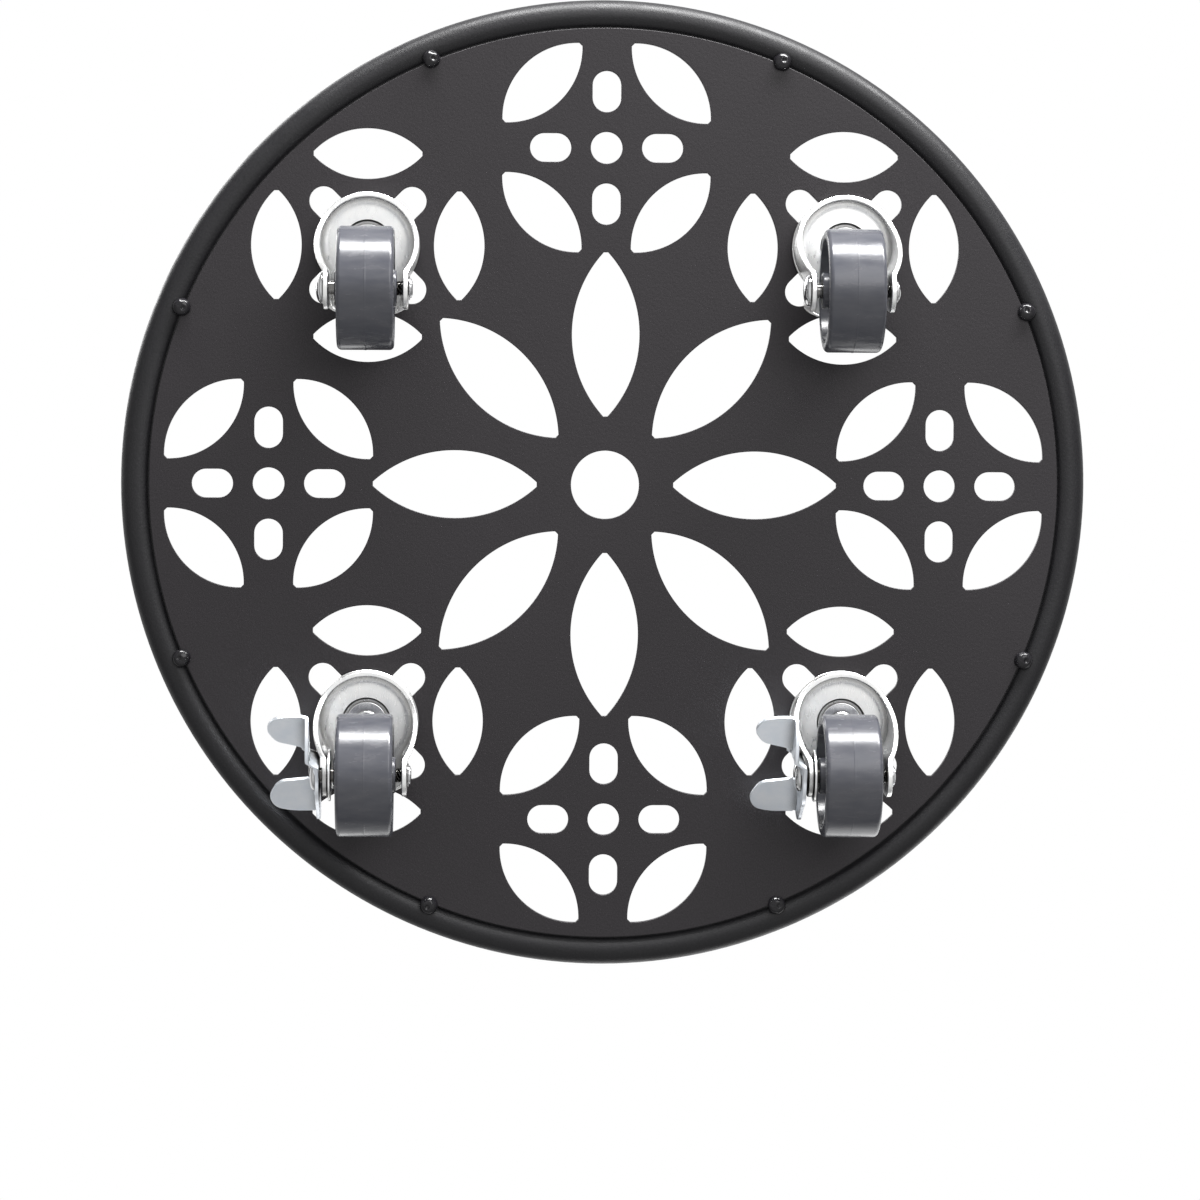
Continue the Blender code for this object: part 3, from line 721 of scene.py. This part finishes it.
def hex_nut(flats, bore, bottom, height):
    """A hexagon nut, chamfered at both ends, with a countersunk bore."""
    corner = flats / 2 / cos(pi / 6)
    steps = 144
    ends = [0.15 * MM * k for k in range(7)]
    loops = []
    for z in [bottom + end for end in ends] + [bottom + height - end for end in reversed(ends)]:
        near = min(z - bottom, bottom + height - z)
        cone = flats / 2 * 0.97 + near * tan(radians(60))
        loop = []
        for i in range(steps):
            angle = tau * i / steps
            side = (angle + pi / 6) % (pi / 3) - pi / 6
            reach = min(flats / 2 / cos(side), cone, corner * 0.985)
            loop.append((reach * cos(angle), reach * sin(angle), z))
        loops.append(loop)
    sink, top = bore + 0.5 * MM, bottom + height
    for r, z in ((sink, top), (bore, top - 0.5 * MM), (bore, bottom + 0.5 * MM), (sink, bottom)):
        loops.append([(x, y, z) for x, y in circle(r, steps)])
    return skin(loops, closed=True)


def ring_body(outer, inner, bottom, top, edge=0.25 * MM, steps=72):
    """A washer or tube with its edges rounded."""
    corners = [(inner, bottom), (outer, bottom), (outer, top), (inner, top)]
    return turned(rounded([(r, z, edge) for r, z in corners]), steps)


def kingpin_mesh(low, high, shoulder_low, shoulder_high):
    """The stud: riveted over below, a smooth neck, and a thread up through the deck."""
    hollow, rivet_top = RIVET_HOLLOW_RADIUS, low + 1.6 * MM
    profile = [
        (0.1 * MM, low + 0.95 * MM),
        (1.6 * MM, low + 1.0 * MM),
        (hollow - 1.2 * MM, low + 0.75 * MM),
        (hollow - 0.3 * MM, low + 0.12 * MM),
        (hollow + 0.3 * MM, low),
        (STUD_RADIUS - 0.3 * MM, low + 0.25 * MM),
        (STUD_RADIUS, low + 0.75 * MM),
        (STUD_RADIUS - 0.1 * MM, rivet_top),
        (NECK_RADIUS, rivet_top),
        (NECK_RADIUS, shoulder_low),
        (STUD_RADIUS, shoulder_low),
        (STUD_RADIUS, shoulder_high),
    ]
    end = high - 0.8 * MM
    run = [shoulder_high + (end - shoulder_high) * k / 72 for k in range(1, 72)]
    profile += [(STUD_RADIUS, z) for z in run]
    profile += [(STUD_RADIUS, end), (STUD_RADIUS - 0.8 * MM, high), (0.2 * MM, high)]
    return mesh_of("kingpin", screwed(profile, 64, THREAD_DEPTH, STUD_PITCH, shoulder_high, end))


def ball_ring_mesh(height):
    """The balls of the swivel bearing in their ring."""
    bm = bmesh.new()
    for i in range(BALLS):
        angle = tau * i / BALLS
        at = Vector((BALL_CIRCLE * cos(angle), BALL_CIRCLE * sin(angle), height))
        ball = arc((0, 0), BALL_RADIUS, -pi / 2, pi / 2, 12)[1:-1]
        before = len(bm.verts)
        turned(ball, 16, closed=False, into=bm)
        bm.verts.ensure_lookup_table()
        bmesh.ops.translate(bm, vec=at, verts=bm.verts[before:])
    return mesh_of("balls", bm)


# Brake lever


def lever_edges():
    """The lever's outline, clockwise: the bent edge from ear to ear, and the plain edge back."""
    hub = arc_through((-0.6, 11.3), (8.9, 7.1), (11.8, -1.4), EDGE_RUN)
    front = arc_through((25.6, -16.1), (14.6, -19.8), (6.6, -17.6), 26)
    low = arc_through((-2.0, -12.1), (-8.6, -8.7), (-12.3, -1.8), 22)
    rear = arc_through((-16.8, 7.6), (-19.3, 14.0), (-15.8, 24.6), 26)
    bent = [rear[-1], *between(rear[-1], hub[0], EDGE_RUN), *hub]
    bent += [*between(hub[-1], front[0], EDGE_RUN), front[0]]
    plain = front + between(front[-1], low[0], 12) + low + between(low[-1], rear[0], 12) + rear
    bent, plain = [Vector(point) for point in bent], [Vector(point) for point in plain]
    clear = LEVER_BEND + EDGE_ROOM / 2
    return bent, [p for p in plain if min((p - bent[0]).length, (p - bent[-1]).length) > clear]


def between(first, last, steps):
    return [tuple(Vector(first).lerp(Vector(last), k / steps)) for k in range(1, steps)]


def headings(points):
    """Which way a line runs at each of its points."""
    last = len(points) - 1
    return [points[min(i + 1, last)] - points[max(i - 1, 0)] for i in range(last + 1)]


class Edge:
    """A line of points and its outward direction, read by the distance along it."""

    def __init__(self, points):
        self.points = points
        self.along = [0.0]
        for a, b in zip(points, points[1:]):
            self.along.append(self.along[-1] + (b - a).length)
        self.normals = [Vector((-step.y, step.x)).normalized() for step in headings(points)]
        for _ in range(6):
            triples = zip(self.normals, self.normals[1:], self.normals[2:])
            self.normals[1:-1] = [(a + b + c).normalized() for a, b, c in triples]

    def at(self, distance):
        """The point and the outward direction at a distance."""
        i = 0
        while i < len(self.along) - 2 and self.along[i + 1] < distance:
            i += 1
        share = (distance - self.along[i]) / (self.along[i + 1] - self.along[i])
        share = min(max(share, 0), 1)
        point = self.points[i].lerp(self.points[i + 1], share)
        return point, self.normals[i].lerp(self.normals[i + 1], share)


def ear_rim(root, corner, height, fillet, lean):
    """The rim from the web over an ear to its corner, as (distance along the edge, height)."""
    side = 1 if corner > root else -1
    tip = corner - side * 8.2 * MM
    rim = rounded(
        [
            (root - side * (fillet - 1 * MM), WEB_REACH, 0),
            (root + side * 1 * MM, WEB_REACH, fillet),
            (root + side * lean, height - 4 * MM, 6 * MM),
            (tip, height, 7 * MM),
            (corner - side * 1.8 * MM, height - 2.6 * MM, 6 * MM),
            (corner, height * 0.55, 20 * MM),
            (corner, LEVER_BEND + EDGE_ROOM * 1.2, 0),
        ],
        closed=False,
    )
    return spread([Vector(point) for point in rim], EDGE_SPACING)


def spread(points, spacing):
    """The same line with its points evenly spaced."""
    line = Edge(points)
    count = ceil(line.along[-1] / spacing)
    return [line.at(line.along[-1] * k / count)[0] for k in range(count + 1)]


def lever_step(x, z):
    """How far the lever stands out at a point: its joggle, its two cam ramps and its dimple."""
    ahead = x * cos(JOGGLE_TILT) - z * sin(JOGGLE_TILT)
    out = LEVER_JOGGLE * smoothstep(JOGGLE_START - 0.6 * MM, JOGGLE_END + 0.4 * MM, ahead)
    r, angle = hypot(x, z), atan2(z, x)
    for middle_angle in CAM_ANGLES:
        off = abs((angle - middle_angle + pi) % tau - pi)
        ramp = 1 - smoothstep(CAM_FLAT_ANGLE, CAM_FOOT_ANGLE, off)
        out += CAM_HEIGHT * ramp * (1 - smoothstep(CAM_FLAT, CAM_FOOT, abs(r - CAM_CIRCLE)))
    dimple = hypot(x - DIMPLE_X, z - DIMPLE_Z)
    return out - DIMPLE_DEPTH * (1 - smoothstep(DIMPLE_FLAT, DIMPLE_RADIUS, dimple))


def lever_columns(edge, ear_roots):
    """Columns of the bent edge: where each starts, and where its rim is, as (distance, height)."""
    root_rear, root_front = ear_roots
    end = edge.along[-1]
    rear = list(reversed(ear_rim(root_rear, 0, EAR_REACH, 5.5 * MM, 3 * MM)))
    front = ear_rim(root_front, end, EAR_REACH - LEVER_JOGGLE, 2 * MM, 4.5 * MM)
    web_steps = ceil((front[0].x - rear[-1].x) / EDGE_SPACING)
    web = [rear[-1].lerp(front[0], k / web_steps) for k in range(1, web_steps)]
    columns = ear_columns(EAR_SKEW, rear[-1].x, rear)
    columns += [(point.x, point) for point in web]
    return columns + ear_columns(front[0].x, end - EAR_SKEW, front)


def ear_columns(first, last, rims):
    steps = len(rims) - 1
    return [(first + (last - first) * k / steps, rim) for k, rim in enumerate(rims)]


def lever_plate(layers, edge, columns, plain):
    """The plate, in rows from its bore to its edge and the bend's start; gives the last row."""
    ends = []
    for distance, _ in columns:
        point, out = edge.at(distance)
        ends.append(point - out * LEVER_BEND)
    ends += plain
    bore = AXLE_RADIUS + GAP
    rows = []
    for k in range(PLATE_ROWS + 1):
        row = []
        for end in ends:
            at = (end.normalized() * bore).lerp(end, k / PLATE_ROWS)
            step = lever_step(at.x, at.y)
            row.append(layers.add((at.x, -step, at.y), (at.x, -step - LEVER_SHEET, at.y)))
        rows.append(row)
    layers.join(rows, closed=True)
    return rows[-1]


def lever_flange(layers, edge, columns, first):
    """The bent edge: rows round the bend, then straight out over the ears and the web."""

    def add(distance, angle, rise):
        point, out = edge.at(distance)
        base = point - out * LEVER_BEND
        tight = LEVER_BEND - LEVER_SHEET
        step = lever_step(base.x, base.y)
        high, low = base + out * LEVER_BEND * sin(angle), base + out * tight * sin(angle)
        turned_high = LEVER_BEND * (1 - cos(angle)) + rise
        turned_low = LEVER_SHEET + tight * (1 - cos(angle)) + rise
        return layers.add((high.x, -turned_high - step, high.y), (low.x, -turned_low - step, low.y))

    rims = [rim for _, rim in columns]
    rows = [first]
    for k in range(1, BEND_ROWS + 1):
        rows.append([add(distance, pi / 2 * k / BEND_ROWS, 0) for distance, _ in columns])
    insets = rim_insets(rims, edge.along[-1])
    for k in range(1, EAR_ROWS + 1):
        row = []
        for (distance, _), inset in zip(columns, insets):
            along = distance + (inset.x - distance) * k / EAR_ROWS
            row.append(add(along, pi / 2, (inset.y - LEVER_BEND) * k / EAR_ROWS))
        rows.append(row)
    rows.append([add(rim.x, pi / 2, rim.y - LEVER_BEND) for rim in rims])
    layers.join(rows)


def rim_insets(rims, length):
    """A line just inside the rim, which leaves room for its rounded edge."""
    insets = []
    for rim, along in zip(rims, headings(rims)):
        inset = rim + Vector((along.y, -along.x)).normalized() * EDGE_ROOM
        insets.append(Vector((min(max(inset.x, 0), length), max(inset.y, LEVER_BEND + 0.2 * MM))))
    return insets


def lever_mesh():
    """The brake lever: a plate round the axle, its edge bent out into two ears and a low web."""
    bent, plain = lever_edges()
    edge = Edge(bent)
    columns = lever_columns(edge, (edge.along[EDGE_RUN], edge.along[-EDGE_RUN - 1]))
    layers = Layers()
    last = lever_plate(layers, edge, columns, plain)
    lever_flange(layers, edge, columns, last[: len(columns)])
    body = mesh_of("lever", sheet(layers, CUT_EDGE))
    turn = Matrix.Rotation(LEVER_SLOT_TURN, 2)
    outline = slot_hole(LEVER_SLOT["length"], LEVER_SLOT["width"], 10)
    slot = [turn @ Vector(point) + LEVER_SLOT_AT for point in outline]
    return cut(body, skin([[(p.x, y, p.y) for p in slot] for y in (-4 * MM, 2 * MM)]))


# Materials


class Tree:
    """A node tree under construction."""

    def __init__(self, tree):
        self.tree = tree

    def add(self, kind, inputs=None, **settings):
        """A new node, its inputs fed with values or with other nodes' outputs."""
        node = self.tree.nodes.new("ShaderNode" + kind)
        for key, value in settings.items():
            setattr(node, key, value)
        for key, value in (inputs or {}).items():
            self.feed(node.inputs[key], value)
        return node

    def feed(self, socket, value):
        if isinstance(value, bpy.types.NodeSocket):
            self.tree.links.new(value, socket)
        else:
            socket.default_value = value


class Look(Tree):
    """A material under construction; its calls add nodes and give an output."""

    def __init__(self, name):
        self.material = bpy.data.materials.new(name)
        self.material.use_nodes = True
        super().__init__(self.material.node_tree)
        self.shader = self.tree.nodes["Principled BSDF"]
        self.at = self.coordinates()

    def coordinates(self):
        """The piece's own coordinates, moved by a different amount on each piece."""
        place = self.add("TexCoord").outputs["Object"]
        chance = self.add("ObjectInfo").outputs["Random"]
        inputs = {0: (0.7, 1.3, 0.4), "Scale": chance}
        shift = self.add("VectorMath", inputs, operation="SCALE")
        return self.add("VectorMath", {0: place, 1: shift.outputs[0]}, operation="ADD").outputs[0]

    def noise(self, size, detail, stretch=(1, 1, 1)):
        """Noise whose lumps are about size metres across."""
        mapping = self.add("Mapping", {"Vector": self.at, "Scale": stretch})
        inputs = {"Vector": mapping.outputs[0], "Scale": 1 / size, "Detail": detail}
        return self.add("TexNoise", inputs).outputs["Fac"]

    def mapped(self, value, low, high, to_low=0, to_high=1):
        inputs = {"From Min": low, "From Max": high, "To Min": to_low, "To Max": to_high}
        return self.add("MapRange", {**inputs, "Value": value}).outputs[0]

    def mixed(self, factor, first, second):
        inputs = {"Factor": factor, 6: first, 7: second}
        return self.add("Mix", inputs, data_type="RGBA").outputs[2]

    def edge_wear(self, width):
        """1 on rounded outer edges, 0 on flat faces."""
        bevel = self.add("Bevel", {"Radius": width}, samples=4)
        normal = self.add("NewGeometry").outputs["Normal"]
        dot = self.add("VectorMath", {0: bevel.outputs[0], 1: normal}, operation="DOT_PRODUCT")
        return self.mapped(dot.outputs["Value"], 0.98, 0.80)

    def painted_shade_mask(self, distance):
        """1 out in the open, towards 0 in corners and gaps: the mask for painted shade in creases.
        """
        return self.add("AmbientOcclusion", {"Distance": distance}, samples=6).outputs["AO"]

    def bumped(self, *layers):
        """Bump from (height, distance in metres) layers, one over another."""
        below = {}
        for height, distance in layers:
            bump = self.add("Bump", {"Height": height, "Distance": distance, **below})
            below = {"Normal": bump.outputs[0]}
        self.feed(self.shader.inputs["Normal"], below["Normal"])

    def set(self, **inputs):
        for key, value in inputs.items():
            self.feed(self.shader.inputs[key.replace("_", " ")], value)
        return self.material


def colour(r, g, b):
    return (r, g, b, 1.0)


def powder_coat(name, dark, light, rough_low, rough_high, peel):
    """Black powder coat: orange peel and fine grain."""
    m = Look(name)
    grain = m.noise(0.45 * MM, 3)
    cloud = m.noise(14 * MM, 3)
    orange = m.noise(1.3 * MM, 2)
    base = m.mixed(m.mapped(grain, 0.35, 0.65), colour(*dark), colour(*light))
    rough = m.mapped(cloud, 0.3, 0.7, rough_low, rough_high)
    m.bumped((orange, peel), (grain, peel * 0.45))
    return m.set(Base_Color=base, Roughness=rough, Specular_IOR_Level=0.32)


def zinc(name, dark, light, rough_low, rough_high, streaks):
    """Bright zinc plate: faint rolling streaks, cloudy tint, polished edges, and painted shade that
    darkens its corners, creases and gaps.
    """
    m = Look(name)
    rolled = m.noise(0.5 * MM, 1.5, (0.12, 1, 1))
    cloud = m.noise(6 * MM, 4)
    fine = m.noise(0.25 * MM, 2)
    tint = m.mixed(m.mapped(cloud, 0.3, 0.7), colour(*dark), colour(*light))
    wear = m.edge_wear(0.4 * MM)
    worn = m.mixed(wear, tint, colour(0.93, 0.93, 0.93))
    # Painted shade: the base colour darkens to a dark grey in corners, creases and gaps, by ambient
    # occlusion.
    base = m.mixed(m.mapped(m.painted_shade_mask(5 * MM), 0.3, 0.9), colour(0.08, 0.075, 0.07), worn)
    rough = m.mapped(rolled, 0.3, 0.7, rough_low, rough_high)
    m.bumped((rolled, streaks), (fine, streaks * 0.5))
    return m.set(Base_Color=base, Roughness=rough, Metallic=1.0)


def wheel_plastic():
    """Dark grey moulded plastic: satin, with a fine turned grain and a few pale scuffs."""
    m = Look("wheel_plastic")
    grain = m.noise(0.35 * MM, 2)
    flow = m.noise(3 * MM, 3, (1, 0.3, 1))
    scuffs = m.noise(1.6 * MM, 5, (1, 0.25, 1))
    dark, light = colour(0.046, 0.048, 0.058), colour(0.062, 0.063, 0.072)
    base = m.mixed(m.mapped(flow, 0.3, 0.7), dark, light)
    scuffed = m.mapped(scuffs, 0.70, 0.82, 0, 0.35)
    base = m.mixed(scuffed, base, colour(0.20, 0.21, 0.23))
    rough = m.mapped(flow, 0.3, 0.7, 0.20, 0.29)
    m.bumped((grain, 0.006 * MM), (flow, 0.04 * MM))
    return m.set(Base_Color=base, Roughness=rough, Specular_IOR_Level=0.42)


def floor_material():
    """A pale floor that only shows from above, and fades into the room away from the dolly."""
    m = Look("floor")
    mottle = m.noise(60 * MM, 3)
    dark, light = colour(0.60, 0.60, 0.60), colour(0.63, 0.63, 0.63)
    base = m.mixed(m.mapped(mottle, 0.3, 0.7), dark, light)
    m.set(Base_Color=base, Roughness=m.mapped(mottle, 0.3, 0.7, 0.6, 0.75), Specular_IOR_Level=0.2)
    m.set(Emission_Color=colour(1, 1, 1), Emission_Strength=0.42)
    place = m.add("TexCoord").outputs["Object"]
    distance = m.add("VectorMath", {0: place}, operation="LENGTH")
    fade = m.mapped(distance.outputs["Value"], 0.45, 1.1)
    behind = m.add("NewGeometry").outputs["Backfacing"]
    away = m.add("Math", {0: fade, 1: behind}, operation="MAXIMUM")
    clear = m.add("BsdfTransparent").outputs[0]
    mix = m.add("MixShader", {0: away.outputs[0], 1: m.shader.outputs[0], 2: clear})
    m.feed(m.tree.nodes["Material Output"].inputs[0], mix.outputs[0])
    return m.material


# Setting


def add_floor():
    bm = bmesh.new()
    bmesh.ops.create_grid(bm, x_segments=4, y_segments=4, size=12)
    mesh = mesh_of("floor", bm)
    mesh.materials.append(floor_material())
    floor = linked("floor", mesh)
    floor.location.z = -0.05 * MM
    floor.visible_shadow = floor.visible_diffuse = floor.visible_glossy = False


def add_light(name, at, power, width, height):
    light = bpy.data.lights.new(name, "AREA")
    light.shape = "RECTANGLE"
    light.size, light.size_y = width, height
    light.energy = power
    lamp = linked(name, light)
    lamp.location = at
    lamp.rotation_euler = (Vector((0, 0, 0.05)) - Vector(at)).to_track_quat("-Z", "Y").to_euler()
    lamp.visible_camera = False


def add_world():
    """A white room for the camera; for the object, one that darkens towards the horizon."""
    world = bpy.data.worlds.new("studio")
    bpy.context.scene.world = world
    world.use_nodes = True
    tree = Tree(world.node_tree)
    direction = tree.add("TexCoord").outputs["Generated"]
    split = tree.add("SeparateXYZ", {0: direction})
    height = tree.add("MapRange", {"From Min": -1, "Value": split.outputs["Z"]})
    ramp = tree.add("ValToRGB", {0: height.outputs[0]})
    steps = ramp.color_ramp.elements
    for i, (position, value) in enumerate(WORLD_STOPS):
        step = steps[i] if i < len(steps) else steps.new(position)
        step.position = position
        step.color = colour(value, value, value)
    seen = tree.add("Background", {"Color": colour(1, 1, 1)})
    around = world.node_tree.nodes["Background"]
    tree.feed(around.inputs["Color"], ramp.outputs[0])
    tree.feed(around.inputs["Strength"], 0.9)
    camera_ray = tree.add("LightPath").outputs["Is Camera Ray"]
    mix = tree.add("MixShader", {0: camera_ray, 1: around.outputs[0], 2: seen.outputs[0]})
    tree.feed(world.node_tree.nodes["World Output"].inputs[0], mix.outputs[0])


def add_camera():
    """Straight up at the underside, a little off the middle, with the dolly's front at the top."""
    place = Vector((22.6 * MM, -63.9 * MM, -1.5305))
    aim = Vector((-48.0 * MM, -1.6 * MM, 69.5 * MM))
    forward = (aim - place).normalized()
    right = forward.cross(Vector((1, -0.005, 0))).normalized()
    up = right.cross(forward)
    data = bpy.data.cameras.new("camera")
    data.lens = 115.6
    data.clip_start, data.clip_end = 0.01, 50
    camera = linked("camera", data)
    turn = Matrix((right, up, -forward)).transposed()
    camera.matrix_world = Matrix.Translation(place) @ turn.to_4x4()
    bpy.context.scene.camera = camera


def add_setting():
    bpy.context.scene.view_settings.view_transform = "Standard"
    add_world()
    add_floor()
    add_light("key_side", (1.5, 0.3, -0.2), 110, 1.6, 0.45)
    add_light("key_below", (0.7, 0.5, -1.3), 8, 0.9, 0.9)
    add_light("key_above", (0.8, -1.0, 1.6), 22, 1.2, 1.2)
    add_light("fill_above", (-1.2, 0.6, 1.2), 10, 1.6, 1.6)
    add_camera()


# Assembly


def add_frame_pieces(looks):
    show("deck_plate", deck_mesh(), looks["deck_coat"])
    show("rim_tube", rim_mesh(), looks["rim_coat"])
    for number in range(1, WELDS + 1):
        node = f"tack_weld_{number}"
        low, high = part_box(node)
        at = Vector((*middle(node).xy, high.z))
        show(node, weld_mesh(number, low, high), looks["weld_coat"], at)


def castor_meshes():
    """The pieces that all four castors have, by name, each with its finish."""
    pieces = ("castor_plate", "kingpin", "race_washer", "deck_washer", "deck_nut", "axle_nut")
    boxes = [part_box(f"{piece}_front_left") for piece in pieces]
    (flat_low, flat_high), (pin_low, pin_high), (race_low, race_high) = boxes[:3]
    (ring_low, ring_high), (nut_low, nut_high), (side_low, side_high) = boxes[3:]
    axle_y = SWIVEL_AT["front_left"].y
    bush_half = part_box("wheel_bush_front_left")[1].y - axle_y
    stud_hole, axle_hole = STUD_RADIUS + GAP, AXLE_RADIUS + GAP
    plate_radius = (flat_high.x - flat_low.x) / 2
    plate = ring_body(plate_radius, stud_hole, flat_low.z, flat_high.z, 0.6 * MM, 128)
    kingpin = kingpin_mesh(pin_low.z, pin_high.z, flat_low.z - GAP, flat_high.z)
    race = ring_body(RACE_WASHER_RADIUS, NECK_RADIUS + GAP, race_low.z, race_high.z, 0.4 * MM)
    washer = ring_body(DECK_WASHER_RADIUS, stud_hole, ring_low.z, ring_high.z)
    nut = hex_nut(DECK_NUT_FLATS, stud_hole, nut_low.z, nut_high.z - nut_low.z)
    bush = along_axle(ring_body(SLEEVE_RADIUS, axle_hole, -bush_half, bush_half))
    return {
        "castor_plate": (mesh_of("plate", plate), "zinc_sheet"),
        "kingpin": (kingpin, "zinc_polished"),
        "race_washer": (mesh_of("race", race), "zinc_polished"),
        "ball_ring": (ball_ring_mesh(middle("ball_ring_front_left").z), "bearing_steel"),
        "deck_washer": (mesh_of("washer", washer), "zinc_fastener"),
        "deck_nut": (mesh_of("nut", nut), "zinc_fastener"),
        "wheel": (wheel_mesh(), "wheel_plastic"),
        "wheel_bush": (mesh_of("bush", bush), "zinc_fastener"),
        "axle_nut": (push_nut_mesh(side_low.y - axle_y, side_high.y - axle_y), "zinc_fastener"),
    }


def brake_plate_mesh():
    low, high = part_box("brake_plate_rear_left")
    axle_y = SWIVEL_AT["rear_left"].y
    plate = ring_body(BRAKE_PLATE_RADIUS, SLEEVE_RADIUS + GAP, low.y - axle_y, high.y - axle_y)
    return mesh_of("brake_plate", along_axle(plate))


def add_castors(looks):
    meshes = castor_meshes()
    forks = {False: fork_mesh(False), True: fork_mesh(True)}
    brake_plate = brake_plate_mesh()
    lever = lever_mesh()
    for corner in CORNERS:
        at = SWIVEL_AT[corner]
        for piece, (mesh, finish) in meshes.items():
            show(f"{piece}_{corner}", mesh, looks[finish], at)
        show(f"fork_{corner}", forks[corner in BRAKED], looks["zinc_sheet"], at)
        axle_low, axle_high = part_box(f"axle_{corner}")
        cap_face = at.y - axle_low.y - CAP_HEIGHT
        nut_side = axle_high.y - at.y - AXLE_TIP
        show(f"axle_{corner}", axle_mesh(cap_face, nut_side), looks["zinc_polished"], at)
        if corner in BRAKED:
            lever_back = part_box(f"brake_lever_{corner}")[1].y
            lever_at = Vector((at.x - TRAIL, lever_back, WHEEL_RADIUS))
            show(f"brake_lever_{corner}", lever, looks["lever_zinc"], lever_at)
            show(f"brake_plate_{corner}", brake_plate, looks["zinc_sheet"], at)


def main():
    looks = {name: powder_coat(name, *numbers) for name, numbers in POWDER_COATS.items()}
    looks.update({name: zinc(name, *numbers) for name, numbers in ZINC_PLATES.items()})
    looks["wheel_plastic"] = wheel_plastic()
    add_frame_pieces(looks)
    add_castors(looks)
    add_setting()


main()
